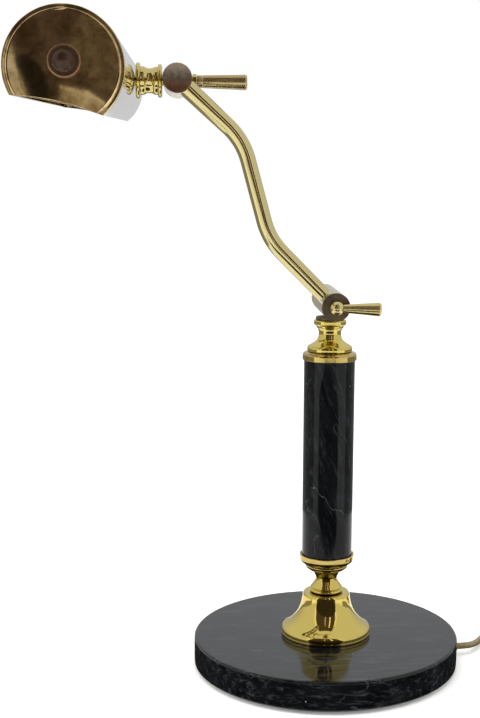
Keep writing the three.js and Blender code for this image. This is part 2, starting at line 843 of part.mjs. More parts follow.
// The plug lies flat on the table, with the cord at its origin and its pins along +Y.
function plugBody() {
  const { width, height, length, neck: neckLength } = PLUG;
  const back = 6.5;
  const outline = new THREE.Shape();
  outline.moveTo(-back / 2, 0);
  outline.lineTo(back / 2, 0);
  outline.lineTo(back / 2, neckLength - 2);
  outline.quadraticCurveTo(width / 2, neckLength + 1, width / 2, neckLength + 7);
  outline.lineTo(width / 2, length);
  outline.lineTo(-width / 2, length);
  outline.lineTo(-width / 2, neckLength + 7);
  outline.quadraticCurveTo(-width / 2, neckLength + 1, -back / 2, neckLength - 2);
  const options = { depth: height, bevelEnabled: false, curveSegments: 6 };
  const block = new THREE.ExtrudeGeometry(outline, options);
  return toGeometry(toSolid(block));
}

const plug = new THREE.Group();
plug.position.set(PLUG.x, PLUG.y, 0);
plug.rotation.z = Math.PI;
lamp.add(plug);
add(plug, "plug_body", plugBody(), goldCord);
for (const [name, side] of [
  ["plug_pin_left", -1],
  ["plug_pin_right", 1],
]) {
  const pin = alongY(disc(PIN.radius, PLUG.length + GAP, PLUG.length + GAP + PIN.length, 16));
  add(plug, name, pin.translate(side * PIN.spread, 0, PLUG.height / 2), steel);
}

export default lamp;
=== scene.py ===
"""Looks of a jointed brass and marble desk lamp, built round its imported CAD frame.

Lengths in the tables are millimetres in the frame's own axes; MM turns them to metres.
Every piece is placed in its mesh, and its object stays at the origin.
"""

import math

import bpy
import numpy as np
from mathutils import Matrix, Vector


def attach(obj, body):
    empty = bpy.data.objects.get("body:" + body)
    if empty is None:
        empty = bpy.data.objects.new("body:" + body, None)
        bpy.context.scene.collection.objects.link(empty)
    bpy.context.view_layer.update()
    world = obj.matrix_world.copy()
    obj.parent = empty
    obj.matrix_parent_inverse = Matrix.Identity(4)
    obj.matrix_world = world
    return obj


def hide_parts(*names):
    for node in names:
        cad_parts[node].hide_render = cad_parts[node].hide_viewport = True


MM = 0.001
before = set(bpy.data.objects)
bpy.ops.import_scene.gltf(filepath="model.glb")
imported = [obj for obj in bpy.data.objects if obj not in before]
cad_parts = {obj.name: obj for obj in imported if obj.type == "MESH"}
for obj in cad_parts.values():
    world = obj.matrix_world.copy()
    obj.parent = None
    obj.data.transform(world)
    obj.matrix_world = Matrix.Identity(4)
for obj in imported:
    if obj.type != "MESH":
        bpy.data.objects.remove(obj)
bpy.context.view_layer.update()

# ------------------------------------------------------------------ sizes, in mm and degrees
HEAD_TILT = 1.4  # the shade's far end stands this much higher
SHADE_ROLL = 11.4  # the opening is turned this much away from the column
UPPER_AXIS = (-111.2, 431.9)  # x and z of the head's barrel
LOWER_AXIS = (0.0, 275.2)  # x and z of the column's barrel
SHADE_AXIS = (-175.5, 0.3)  # x, and height over the upper axis
SWITCH_HEIGHT = 3.2  # over the shade's axis
BARREL_RADIUS = 10.15
BALL_REACH = 42.6  # the clamping ball's middle, in front of the lamp's middle
LEVER_DROP = 1.5  # degrees
CORD_DIAMETER = 4.8
EXIT_TURN = 4.0  # degrees from +X at which the cord leaves the foot
EXIT_HEIGHT = 7.2
RELIEF_END = 103.6  # the strain relief's mouth, from the lamp's axis


# ------------------------------------------------------------------ placing
def shifted(x, y, z):
    return Matrix.Translation((x, y, z))


def turned_by(degrees, axis):
    return Matrix.Rotation(math.radians(degrees), 4, axis)


LAY_ALONG_Y = turned_by(-90, "X")  # a piece made along Z then runs along +Y
LAY_ALONG_X = turned_by(90, "Y")  # a piece made along Z then runs along +X
UPRIGHT = Matrix.Identity(4)
HEAD = shifted(0, 0, UPPER_AXIS[1]) @ turned_by(HEAD_TILT, "X")
LOWER_BARREL = shifted(LOWER_AXIS[0], 0, LOWER_AXIS[1]) @ LAY_ALONG_Y
UPPER_BARREL = shifted(UPPER_AXIS[0], 0, UPPER_AXIS[1]) @ LAY_ALONG_Y
ALONG_HEAD = HEAD @ LAY_ALONG_X
IN_SHADE = HEAD @ shifted(SHADE_AXIS[0], 0, SHADE_AXIS[1])
ROLLED_SHADE = IN_SHADE @ turned_by(SHADE_ROLL, "Y")
SWITCH_AXIS = ROLLED_SHADE @ shifted(0, 0, SWITCH_HEIGHT) @ LAY_ALONG_Y
LEVER_AXIS = shifted(0, -BALL_REACH, LOWER_AXIS[1]) @ turned_by(LEVER_DROP, "Y") @ LAY_ALONG_X
CORD_EXIT = shifted(0, 0, EXIT_HEIGHT) @ turned_by(EXIT_TURN, "Z") @ LAY_ALONG_X


def laid(points, place):
    """Points times the placing matrix, turned from millimetres to metres."""
    m = np.array(place)
    return (points @ m[:3, :3].T + m[:3, 3]) * MM


# ------------------------------------------------------------------ meshes
def make_piece(name, points, quads, triangles=(), sharp=34.0):
    """A mesh of the given corners, with its faces turned so that its volume is positive."""
    quads = np.asarray(quads, int).reshape(-1, 4)
    triangles = np.asarray(triangles, int).reshape(-1, 3)
    fans = np.concatenate([quads[:, [0, 1, 2]], quads[:, [0, 2, 3]], triangles])
    a, b, c = (points[fans[:, i]] for i in range(3))
    if np.einsum("ij,ij->", a, np.cross(b, c)) < 0:
        quads = quads[:, ::-1]
        triangles = triangles[:, ::-1]
    mesh = bpy.data.meshes.new(name)
    mesh.vertices.add(len(points))
    mesh.vertices.foreach_set("co", np.asarray(points, np.float32).ravel())
    corners = np.concatenate([quads.ravel(), triangles.ravel()]).astype(np.int32)
    sizes = np.concatenate([np.full(len(quads), 4), np.full(len(triangles), 3)]).astype(np.int32)
    mesh.loops.add(len(corners))
    mesh.loops.foreach_set("vertex_index", corners)
    mesh.polygons.add(len(sizes))
    mesh.polygons.foreach_set("loop_start", np.concatenate([[0], np.cumsum(sizes)[:-1]]).astype(np.int32))
    mesh.polygons.foreach_set("use_smooth", np.ones(len(sizes), bool))
    mesh.update(calc_edges=True)
    mesh.validate()
    mesh.set_sharp_from_angle(angle=math.radians(sharp))
    piece = bpy.data.objects.new(name, mesh)
    bpy.context.scene.collection.objects.link(piece)
    return piece


def through(points, per_span=6):
    """A Catmull-Rom curve: each span is the cubic that meets its ends with the slope of the chord
    between their neighbours."""
    p = np.asarray(points, float)
    p = np.concatenate([2 * p[:1] - p[1:2], p, 2 * p[-1:] - p[-2:-1]])
    t = np.linspace(0, 1, per_span, endpoint=False)[None, :, None]
    a, b, c, d = (p[i : len(p) - 3 + i, None, :] for i in range(4))
    cubic = 2 * b + (c - a) * t + (2 * a - 5 * b + 4 * c - d) * t**2 + (3 * b - a - 3 * c + d) * t**3
    return np.concatenate([0.5 * cubic.reshape(-1, p.shape[1]), p[-2:-1]])


def curve_run(points, per_span=6):
    """A smooth stretch of a profile, as corners that aren't rounded."""
    return [(r, h, 0) for r, h in through(points, per_span)]


def arc_run(centre_r, centre_h, radius, start, end, steps=24):
    """A stretch of a profile on a circle, from one angle to another in degrees."""
    angle = np.radians(np.linspace(start, end, steps))
    return [(centre_r + radius * c, centre_h + radius * s, 0) for c, s in zip(np.cos(angle), np.sin(angle))]


LONGEST_EASE = 0.42  # of the straight stretch beside a corner
EASE_MARGIN = 0.15  # the extra point's distance outside the parabola, as a share of the rounding


def eased(corners, closed, steps=4):
    """A profile whose corners (radius, height, rounding) are eased: each is swapped for the parabola
    that starts and ends at the rounding's distance from it, with one more point just outside."""
    spots = [np.array(c[:2], float) for c in corners]
    line = []
    for i, corner in enumerate(corners):
        size = corner[2] if len(corner) > 2 else 0
        ends = not closed and i in (0, len(corners) - 1)
        if size == 0 or ends:
            line.append(spots[i])
            continue
        back = spots[i - 1] - spots[i]
        onward = spots[(i + 1) % len(spots)] - spots[i]
        reach = min(size, LONGEST_EASE * np.linalg.norm(back), LONGEST_EASE * np.linalg.norm(onward))
        back *= reach / np.linalg.norm(back)
        onward *= reach / np.linalg.norm(onward)
        start, end = spots[i] + back, spots[i] + onward
        line.append(start + back * EASE_MARGIN)
        for t in np.linspace(0, 1, steps + 1):
            line.append((1 - t) ** 2 * start + 2 * t * (1 - t) * spots[i] + t**2 * end)
        line.append(end + onward * EASE_MARGIN)
    return np.array(line)


def lathe(name, corners, place, closed=False, sides=96, sharp=34.0):
    """A surface of revolution: the eased profile (r, h) turned about Z, so that each of its points
    gives the ring (r cos a, r sin a, h), and laid by the placing matrix."""
    line = eased(corners, closed)
    angle = np.linspace(0, 2 * math.pi, sides, endpoint=False)
    r, h = line[:, 0:1], line[:, 1:2]
    grid = np.stack([r * np.cos(angle), r * np.sin(angle), h + 0 * angle], axis=-1)
    if closed:
        points = laid(grid.reshape(-1, 3), place)
        return make_piece(name, points, wrapped_quads(len(line), sides, True), sharp=sharp)
    inner = grid[1:-1].reshape(-1, 3)
    poles = np.array([[0, 0, line[0, 1]], [0, 0, line[-1, 1]]])
    last = (len(line) - 3) * sides
    around = np.arange(sides)
    after = (around + 1) % sides
    first_pole = np.stack([np.full(sides, len(inner)), after, around], axis=1)
    last_pole = np.stack([np.full(sides, len(inner) + 1), last + around, last + after], axis=1)
    points = laid(np.concatenate([inner, poles]), place)
    quads = wrapped_quads(len(line) - 2, sides, False)
    return make_piece(name, points, quads, np.concatenate([first_pole, last_pole]), sharp)


def wrapped_quads(rows, columns, rows_wrap):
    """Corner numbers of the faces of a grid whose columns close on themselves."""
    i = np.arange(rows if rows_wrap else rows - 1)[:, None]
    j = np.arange(columns)[None, :]
    below, above = i * columns, ((i + 1) % rows) * columns
    after = (j + 1) % columns
    return np.stack([below + j, below + after, above + after, above + j], axis=-1).reshape(-1, 4)


def loft(name, rings, sharp=34.0):
    """A closed skin over rings of points (ring, place on it, xyz), in metres, with a middle point
    over each end."""
    rows, columns = rings.shape[:2]
    flat = rings.reshape(-1, 3)
    points = np.concatenate([flat, rings[0].mean(0)[None], rings[-1].mean(0)[None]])
    around = np.arange(columns)
    after = (around + 1) % columns
    last = (rows - 1) * columns
    start = np.stack([np.full(columns, len(flat)), after, around], axis=1)
    end = np.stack([np.full(columns, len(flat) + 1), last + around, last + after], axis=1)
    quads = wrapped_quads(rows, columns, False)
    return make_piece(name, points, quads, np.concatenate([start, end]), sharp)


def smooth_step(share):
    """0 to 1 with level ends: 3 s^2 - 2 s^3 for a share s held between 0 and 1."""
    share = np.clip(share, 0, 1)
    return share * share * (3 - 2 * share)


def tube_along(name, path, radii, sides):
    """A round tube: at each point of the path a ring of the given radius, in the plane across the
    path's direction there. The ring's first point is carried from ring to ring without twist."""
    path = np.asarray(path, float)
    ahead = np.gradient(path, axis=0)
    ahead /= np.linalg.norm(ahead, axis=1)[:, None]
    side = np.zeros_like(path)
    side[0] = np.cross(ahead[0], [0.3, 0.2, 1.0])
    for i in range(len(path)):
        carried = side[max(i - 1, 0)]
        across = carried - ahead[i] * np.dot(carried, ahead[i])
        side[i] = across / np.linalg.norm(across)
    up = np.cross(ahead, side)
    angle = np.linspace(0, 2 * math.pi, sides, endpoint=False)[None, :, None]
    radii = np.broadcast_to(np.asarray(radii, float).reshape(-1, 1, 1), (len(path), 1, 1))
    rings = path[:, None] + radii * (np.cos(angle) * side[:, None] + np.sin(angle) * up[:, None])
    return loft(name, rings * MM)


# ------------------------------------------------------------------ camera
CAMERA_PLACE = (-0.1089, -0.9468, 0.3722)
CAMERA_TURNS = (5.472, 8.314, 0.683)  # degrees to the right, down and clockwise
CAMERA_LENS = 65.5
CAMERA_SHIFT = -0.0905


def placed_camera():
    """The camera stands in front of the lamp, a little to its left, at the height of the arm."""
    yaw, pitch, roll = (math.radians(a) for a in CAMERA_TURNS)
    ahead = Vector((math.sin(yaw) * math.cos(pitch), math.cos(yaw) * math.cos(pitch), -math.sin(pitch)))
    level = Vector((math.cos(yaw), -math.sin(yaw), 0))
    up = level.cross(ahead)
    right = level * math.cos(roll) + up * math.sin(roll)
    top = up * math.cos(roll) - level * math.sin(roll)
    camera = bpy.data.objects.new("camera", bpy.data.cameras.new("camera"))
    rows = [(right[i], top[i], -ahead[i], CAMERA_PLACE[i]) for i in range(3)]
    camera.matrix_world = Matrix((*rows, (0, 0, 0, 1)))
    camera.data.lens = CAMERA_LENS
    camera.data.sensor_width = 36
    camera.data.shift_x = CAMERA_SHIFT
    camera.data.clip_end = 50
    bpy.context.scene.collection.objects.link(camera)
    bpy.context.scene.camera = camera


placed_camera()

# ------------------------------------------------------------------ cord
# The cord's centre line from inside the strain relief to the coil, and from the coil to the plug.
LEAD_ROUTE = [
    (97.8, 6.8, 7.2), (101.0, 7.1, 7.2), (103.9, 7.3, 7.2), (105.7, 7.5, 7.1), (110.7, 9.1, 6.8),
    (115.1, 11.9, 6.2), (118.4, 15.4, 5.6), (121.7, 20.4, 4.7), (124.7, 25.8, 3.9), (127.6, 31.3, 3.2),
    (131.0, 38.0, 2.6), (134.8, 45.6, 2.4), (138.6, 53.2, 2.4), (142.2, 61.0, 2.4), (145.5, 69.0, 2.4),
    (148.4, 76.5, 2.4), (150.6, 84.0, 2.4),
]
TAIL_ROUTE = [
    (226.0, 73.0, 9.6), (227.2, 65.0, 7.2), (228.0, 56.0, 4.6), (228.4, 47.0, 2.9), (228.5, 38.0, 2.4),
    (228.5, 29.0, 2.5), (228.5, 21.0, 3.5), (228.5, 14.0, 5.3), (228.5, 8.0, 6.6), (228.5, 3.0, 6.8),
    (228.5, -3.0, 6.8),
]
COIL_MIDDLE = (189.0, 92.0)
COIL_RADII = (19.1, 24.0, 28.9, 33.8)
COIL_LEVELS = (2.4, 7.2, 12.0)
# Which radius and level each turn lies on: in along the table, up in the middle, out on top.
COIL_TURNS = [(3, 0), (2, 0), (1, 0), (0, 0), (0, 1), (1, 1), (1, 2), (2, 1), (2, 2), (3, 2)]
COIL_START, COIL_END = 163.7, 8.5  # degrees, wound clockwise as seen from above


def coil_route(per_turn=24):
    """Turns of the coil: at angle a the cord is at radius r and height z of its turn, and it moves
    to the next turn's r and z in the last third of the turn."""
    turns = len(COIL_TURNS) - 1 + (COIL_START - COIL_END) / 360
    wound = np.linspace(0, turns, int(turns * per_turn))
    number = np.minimum(wound.astype(int), len(COIL_TURNS) - 1)
    following = np.minimum(number + 1, len(COIL_TURNS) - 1)
    share = smooth_step((wound - number - 0.66) / 0.34)
    radius = np.array([COIL_RADII[r] for r, _ in COIL_TURNS])
    level = np.array([COIL_LEVELS[z] for _, z in COIL_TURNS])
    r = radius[number] * (1 - share) + radius[following] * share
    z = level[number] * (1 - share) + level[following] * share
    angle = math.radians(COIL_START) - 2 * math.pi * wound
    return np.stack([COIL_MIDDLE[0] + r * np.cos(angle), COIL_MIDDLE[1] + r * np.sin(angle), z], axis=1)


cord_path = through(np.concatenate([LEAD_ROUTE, coil_route(), TAIL_ROUTE]), 3)
cord = tube_along("cord", cord_path, CORD_DIAMETER / 2, 14)

# ------------------------------------------------------------------ plug
PLUG_ENTRY = (228.5, 2.7, 6.8)  # where the cord goes in; the pins point to -Y
PLUG_LENGTH = 34
SLEEVE_LENGTH = 9.5  # of the round sleeve, and of the stretch after it that widens to the grip
RIB_PITCH = 2.2
PIN_OFFSET = 9.3  # half the distance between the pins


def plug_body():
    """Cross-sections along the plug: superellipses |x/a|^n + |z/b|^n = 1 whose half width a, half
    height b and power n grow from the round cord sleeve, which has ribs, to the flat grip."""
    share = np.linspace(0, 1, 60)
    along = share * PLUG_LENGTH
    grip = smooth_step((along - SLEEVE_LENGTH) / SLEEVE_LENGTH)
    ribs = 0.35 * np.where(along < SLEEVE_LENGTH - 0.5, np.sin(along * 2 * math.pi / RIB_PITCH) > 0, 0)
    half_width = 3.5 + 9.5 * grip - ribs
    half_height = 3.6 + 3.2 * grip - ribs
    face = np.clip((share - 0.94) / 0.06, 0, 1)  # the last 6 %, which rounds off the plug's face
    shrink = 1 - 0.13 * face**2
    power = (2 + 1.6 * grip)[:, None]
    angle = np.linspace(0, 2 * math.pi, 64, endpoint=False)[None, :]
    c, s = np.cos(angle), np.sin(angle)
    x = (half_width * shrink)[:, None] * np.sign(c) * np.abs(c) ** (2 / power)
    z = (half_height * shrink)[:, None] * np.sign(s) * np.abs(s) ** (2 / power)
    y = -along[:, None] + 0 * x
    return loft("plug_body_moulding", (np.stack([x, y, z], axis=-1) + PLUG_ENTRY) * MM, 50)


PIN_PROFILE = [(0, 33), (2, 33), (2, 53.6, 1.4), (0, 53.6)]
plug = plug_body()
pins = []
for label, offset in (("left", PIN_OFFSET), ("right", -PIN_OFFSET)):
    pin_place = shifted(PLUG_ENTRY[0] + offset, PLUG_ENTRY[1], PLUG_ENTRY[2]) @ turned_by(90, "X")
    pins.append(lathe(f"plug_pin_{label}_turned", PIN_PROFILE, pin_place, sides=32))


# ------------------------------------------------------------------ material helpers
def linear(code):
    """The linear colour of an sRGB hex value such as 0xC2B164."""
    channels = np.array([code >> 16 & 255, code >> 8 & 255, code & 255]) / 255
    curve = np.where(channels <= 0.04045, channels / 12.92, ((channels + 0.055) / 1.055) ** 2.4)
    return (*curve, 1.0)


def node(owner, kind, links=(), out=0, stops=(), **settings):
    """Adds one node and gives back one of its outputs. links maps a socket's name or number to a
    value or to another node's output, settings are the node's own properties, and stops are a
    ramp's (place, colour) pairs, in which a plain number is a grey."""
    made = owner.node_tree.nodes.new(kind)
    for key, value in settings.items():
        setattr(made, key, value)
    if stops:
        elements = made.color_ramp.elements
        while len(elements) < len(stops):
            elements.new(0.5)
        for element, (place, colour) in zip(elements, stops):
            element.position = place
            element.color = colour if isinstance(colour, tuple) else (colour, colour, colour, 1)
    for socket, value in dict(links).items():
        if isinstance(value, bpy.types.NodeSocket):
            owner.node_tree.links.new(value, made.inputs[socket])
        else:
            made.inputs[socket].default_value = value
    return made.outputs[out] if made.outputs else None


# A mix's sockets 2 and 3 are the numbers it mixes, and 6 and 7 are the colours, which come out at 2.
COLOURS = {"out": 2, "data_type": "RGBA"}
NOISE, RAMP, MIX, MATH, BUMP = (
    "ShaderNode" + kind for kind in ("TexNoise", "ValToRGB", "Mix", "Math", "Bump")
)


def new_material(name):
    material = bpy.data.materials.new(name)
    material.use_nodes = True
    material.node_tree.nodes.clear()
    return material


def finish_material(material, shader_links):
    shader = node(material, "ShaderNodeBsdfPrincipled", shader_links)
    node(material, "ShaderNodeOutputMaterial", {"Surface": shader})
    return material


def mapped(material, scale=(1, 1, 1), turn=(0, 0, 0)):
    """Object coordinates, turned by degrees and then scaled."""
    links = {
        "Vector": node(material, "ShaderNodeTexCoord", out="Object"),
        "Rotation": tuple(math.radians(a) for a in turn),
        "Scale": tuple(1 / s for s in scale),
    }
    return node(material, "ShaderNodeMapping", links, vector_type="TEXTURE")


def blotch(size_mm):
    """The scale of a pattern whose blotches are about size_mm across."""
    return 1 / (size_mm * MM)


# ------------------------------------------------------------------ materials
def lathe_turned_brass(name, clean, tarnished, gloss, tarnish, lines, relief, pits=0.0, metal=1.0, coat=0.0):
    """Yellow brass, turned or drawn, buffed and lacquered: a mirror with a deep yellow cast. The
    buffing leaves faint rings across `lines`, the axis it was turned on, drawn 0.9 mm apart so that
    they show, and soft waves. Where the lacquer has worn, the metal has gone brown in soft clouds
    and specks. relief is the depth of the rings and waves, pits how dark and dull the corroded
    specks are, metal falls below 1 under a crust of oxide, and coat is the wax of many fingers."""
    material = new_material(name)
    plain = mapped(material)
    cloud_links = {"Vector": plain, "Scale": blotch(16), "Detail": 5, "Roughness": 0.62, "Distortion": 0.8}
    clouds = node(material, NOISE, cloud_links)
    specks = node(material, NOISE, {"Vector": plain, "Scale": blotch(3.5), "Detail": 2})
    mixed = node(material, MIX, {"Factor": 0.2, 2: clouds, 3: specks})
    spread = [(0.62 - 0.3 * tarnish, 0.0), (0.8 - 0.22 * tarnish, 0.25 + 0.75 * tarnish)]
    amount = node(material, RAMP, {"Fac": mixed}, stops=spread)
    tones = {"Factor": amount, 6: linear(clean), 7: linear(tarnished)}
    colour = node(material, MIX, tones, **COLOURS)
    rough = node(material, RAMP, {"Fac": clouds}, stops=[(0.35, gloss), (0.8, gloss * 1.8)])
    stretch = tuple(900 if axis == lines else 3 for axis in "XYZ")
    rings = node(material, NOISE, {"Vector": mapped(material, stretch), "Scale": 1.3, "Detail": 2})
    waves = node(material, NOISE, {"Vector": plain, "Scale": blotch(9), "Detail": 2})
    height = node(material, MIX, {"Factor": 0.88, 2: rings, 3: waves})
    depth = relief * (0.006 + 0.012 * tarnish)
    normal = node(material, BUMP, {"Height": height, "Distance": depth * MM})
    if pits:
        hole_links = {"Vector": plain, "Scale": blotch(3.5), "Detail": 3, "Roughness": 0.6}
        corroded = node(material, NOISE, hole_links)
        holes = node(material, RAMP, {"Fac": corroded}, stops=[(0.66, 0.0), (0.7, pits)])
        stains = {"Factor": holes, 6: colour, 7: linear(0x3A2818)}
        colour = node(material, MIX, stains, **COLOURS)
        rough = node(material, MATH, {0: holes, 1: 0.35, 2: rough}, operation="MULTIPLY_ADD")
    links = {"Base Color": colour, "Metallic": metal, "Roughness": rough, "Normal": normal}
    if coat:
        links.update({"Coat Weight": coat, "Coat Roughness": 0.16})
    return finish_material(material, links)


def tarnish_and_painted_shade_brass(name, middle, reach):
    """A brass disc whose lacquer has gone, tarnished in soft clouds, with painted shade by height: grey on
    its upper half and darker red brown below, standing in for the reflection of the dark room in front of it.
    middle and reach are the disc's height and radius in mm."""
    material = new_material(name)
    position = node(material, "ShaderNodeTexCoord", out="Object")
    # Painted shade: low on the disc the colour is darker and redder, high up it is greyer and lighter.
    height = node(material, "ShaderNodeSeparateXYZ", {0: position}, "Z")
    span = {"From Min": (middle - reach) * MM, "From Max": (middle + reach) * MM, "To Max": 0.7}
    level = node(material, "ShaderNodeMapRange", {**span, "Value": height}, clamp=False)
    cloud_links = {"Vector": mapped(material), "Scale": blotch(7), "Detail": 5}
    clouds = node(material, NOISE, {**cloud_links, "Roughness": 0.65, "Distortion": 0.6})
    where = node(material, MATH, {0: clouds, 1: 0.45, 2: level}, operation="MULTIPLY_ADD")
    tones = [(0.3, 0x4A2E1E), (0.42, 0x5E3C28), (0.52, 0x54463A), (0.85, 0x8E8072)]
    colour = node(material, RAMP, {"Fac": where}, stops=[(place, linear(code)) for place, code in tones])
    rough = node(material, RAMP, {"Fac": clouds}, stops=[(0.35, 0.26), (0.7, 0.4)])
    normal = node(material, BUMP, {"Height": clouds, "Distance": 0.02 * MM})
    links = {"Base Color": colour, "Metallic": 0.45, "Roughness": rough, "Normal": normal}
    return finish_material(material, links)


def veined_black_marble(name, turn, streaks, veins, index):
    """Black marble, sawn, turned and polished: a near-black ground with grey clouds and fine bluish
    streaks drawn out along its bedding, a few thin calcite veins and small white flecks, all under
    a wet gloss. turn lays the bedding, streaks is the colour of the streaks, veins the strength of
    the veins and index that of refraction, lower where the polish has dulled."""
    material = new_material(name)
    plain = mapped(material)
    cloud_links = {"Vector": mapped(material, (1, 3, 3), turn), "Scale": blotch(40), "Detail": 5}
    cloud = node(material, NOISE, {**cloud_links, "Roughness": 0.62, "Distortion": 0.4})
    tones = [(0.4, linear(0x08090A)), (0.6, linear(0x0F1112)), (0.8, linear(0x1D2022))]
    ground = node(material, RAMP, {"Fac": cloud}, stops=tones)
    streak_links = {"Vector": mapped(material, (1, 7, 7), turn), "Scale": blotch(26), "Detail": 7}
    drawn_out = node(material, NOISE, {**streak_links, "Roughness": 0.8, "Distortion": 0.2})
    streak = node(material, RAMP, {"Fac": drawn_out}, stops=[(0.52, 0.0), (0.62, 0.3), (0.72, 0.9)])
    streaked = node(material, MIX, {"Factor": streak, 6: ground, 7: linear(streaks)}, **COLOURS)
    # A vein follows the line on which a slow drift passes through its middle value.
    drift_links = {"Vector": mapped(material, (1, 4, 4), turn), "Scale": blotch(90), "Detail": 4}
    drift = node(material, NOISE, {**drift_links, "Distortion": 0.5})
    vein_edges = [(0.494, 0.0), (0.4985, 0.3), (0.5, veins), (0.502, 0.3), (0.507, 0.0)]
    vein = node(material, RAMP, {"Fac": drift}, stops=vein_edges)
    patches = node(material, NOISE, {"Vector": plain, "Scale": blotch(26), "Detail": 2})
    patchy = node(material, RAMP, {"Fac": patches}, stops=[(0.5, 0.0), (0.7, 1.0)])
    seen = node(material, MATH, {0: vein, 1: patchy}, operation="MULTIPLY")
    veined = node(material, MIX, {"Factor": seen, 6: streaked, 7: linear(0x777B80)}, **COLOURS)
    spots = node(material, "ShaderNodeTexVoronoi", {"Vector": plain, "Scale": blotch(18)}, "Distance")
    fleck = node(material, RAMP, {"Fac": spots}, stops=[(0.0, 0.7), (0.02, 0.6), (0.036, 0.0)])
    colour = node(material, MIX, {"Factor": fleck, 6: veined, 7: linear(0x9C9E9E)}, **COLOURS)
    rough = node(material, RAMP, {"Fac": cloud}, stops=[(0.3, 0.06), (0.7, 0.12)])
    ripple = node(material, NOISE, {"Vector": plain, "Scale": blotch(4), "Detail": 2})
    normal = node(material, BUMP, {"Height": ripple, "Distance": 0.002 * MM})
    links = {"Base Color": colour, "Roughness": rough, "IOR": index, "Normal": normal}
    return finish_material(material, links)


def wool_felt():
    """Pressed wool felt: a dark green mat of short fibres, with no gloss."""
    material = new_material("pressed_wool_felt")
    fibre_links = {"Vector": mapped(material), "Scale": blotch(1.2), "Detail": 5}
    fibres = node(material, NOISE, {**fibre_links, "Roughness": 0.75, "Distortion": 1})
    colour = node(material, RAMP, {"Fac": fibres}, stops=[(0.3, linear(0x1D2A22)), (0.75, linear(0x3E5145))])
    normal = node(material, BUMP, {"Height": fibres, "Distance": 0.3 * MM})
    return finish_material(material, {"Base Color": colour, "Roughness": 0.95, "Normal": normal})


def gold_flex():
    """PVC flex with a gold pigment: soft gloss, slightly uneven, with a metallic cast."""
    material = new_material("gold_pvc_flex")
    drift = node(material, NOISE, {"Vector": mapped(material), "Scale": blotch(6), "Detail": 3})
    colour = node(material, RAMP, {"Fac": drift}, stops=[(0.3, linear(0x68593A)), (0.7, linear(0x82744F))])
    skin = node(material, NOISE, {"Vector": mapped(material), "Scale": blotch(1.5), "Detail": 2})
    normal = node(material, BUMP, {"Height": skin, "Distance": 0.03 * MM})
    links = {"Base Color": colour, "Roughness": 0.38, "Metallic": 0.25, "Normal": normal, "Coat Weight": 0.3}
    return finish_material(material, links)


def zinc_steel():
    """Zinc-plated mild steel: a bluish grey spangle with a soft sheen."""
    material = new_material("zinc_plated_steel")
    drift_links = {"Vector": mapped(material), "Scale": blotch(2.5), "Detail": 4, "Roughness": 0.6}
    drift = node(material, NOISE, drift_links)
    colour = node(material, RAMP, {"Fac": drift}, stops=[(0.3, linear(0x8B8E92)), (0.75, linear(0xB4B6B8))])
    rough = node(material, RAMP, {"Fac": drift}, stops=[(0.3, 0.28), (0.75, 0.42)])
    normal = node(material, BUMP, {"Height": drift, "Distance": 0.02 * MM})
    links = {"Base Color": colour, "Metallic": 1.0, "Roughness": rough, "Normal": normal}
    return finish_material(material, links)


def black_phenolic():
    """Compression-moulded phenolic of the switch housing: nearly black, with a dull moulded gloss."""
    material = new_material("black_phenolic")
    drift = node(material, NOISE, {"Vector": mapped(material), "Scale": blotch(4), "Detail": 3})
    colour = node(material, RAMP, {"Fac": drift}, stops=[(0.3, linear(0x141210)), (0.7, linear(0x241F1B))])
    skin = node(material, NOISE, {"Vector": mapped(material), "Scale": blotch(0.8), "Detail": 2})
    normal = node(material, BUMP, {"Height": skin, "Distance": 0.02 * MM})
    return finish_material(material, {"Base Color": colour, "Roughness": 0.42, "Normal": normal})


def steatite():
    """Unglazed steatite of the lampholders: warm white, matt, with a fine pressed grain."""
    material = new_material("unglazed_steatite")
    grain = node(material, NOISE, {"Vector": mapped(material), "Scale": blotch(0.7), "Detail": 4})
    colour = node(material, RAMP, {"Fac": grain}, stops=[(0.25, linear(0xD8D2C2)), (0.8, linear(0xF0ECE2))])
    normal = node(material, BUMP, {"Height": grain, "Distance": 0.04 * MM})
    return finish_material(material, {"Base Color": colour, "Roughness": 0.55, "Normal": normal})


def frosted_glass():
    """A tubular bulb, etched white inside: a clear gloss over a milky body."""
    material = new_material("frosted_bulb_glass")
    milk = node(material, NOISE, {"Vector": mapped(material), "Scale": blotch(8), "Detail": 2})
    colour = node(material, RAMP, {"Fac": milk}, stops=[(0.2, linear(0xE9E7E0)), (0.8, linear(0xF7F6F2))])
    links = {"Base Color": colour, "Roughness": 0.35, "Transmission Weight": 0.25, "IOR": 1.5}
    return finish_material(material, {**links, "Coat Weight": 1.0, "Coat Roughness": 0.05})


CLEAN, BROWN = 0xC2B060, 0x94783F
BRASS_Z = lathe_turned_brass("turned_brass_upright", CLEAN, BROWN, 0.06, 0.12, "Z", 0.5)
BRASS_Y = lathe_turned_brass("turned_brass_crosswise", CLEAN, BROWN, 0.09, 0.15, "Y", 0.5)
BRASS_X = lathe_turned_brass("turned_brass_lengthwise", 0xBDAE70, BROWN, 0.1, 0.15, "X", 0.0)
COLLAR_BRASS = lathe_turned_brass("worn_collar_brass", 0xB09C5C, 0x7A6030, 0.09, 0.4, "Z", 0.6)
DRAWN_BRASS = lathe_turned_brass("drawn_brass_tube", 0xBBB07E, 0x9A8654, 0.09, 0.1, "Z", 0.0)
SHEET_BRASS = lathe_turned_brass("rolled_sheet_brass", 0xC0B184, 0x94804F, 0.04, 0.1, "Y", 0.04)
CAP_BRASS = lathe_turned_brass("pressed_cap_brass", 0xCDB78A, 0x70562F, 0.025, 0.75, "X", 0.2)
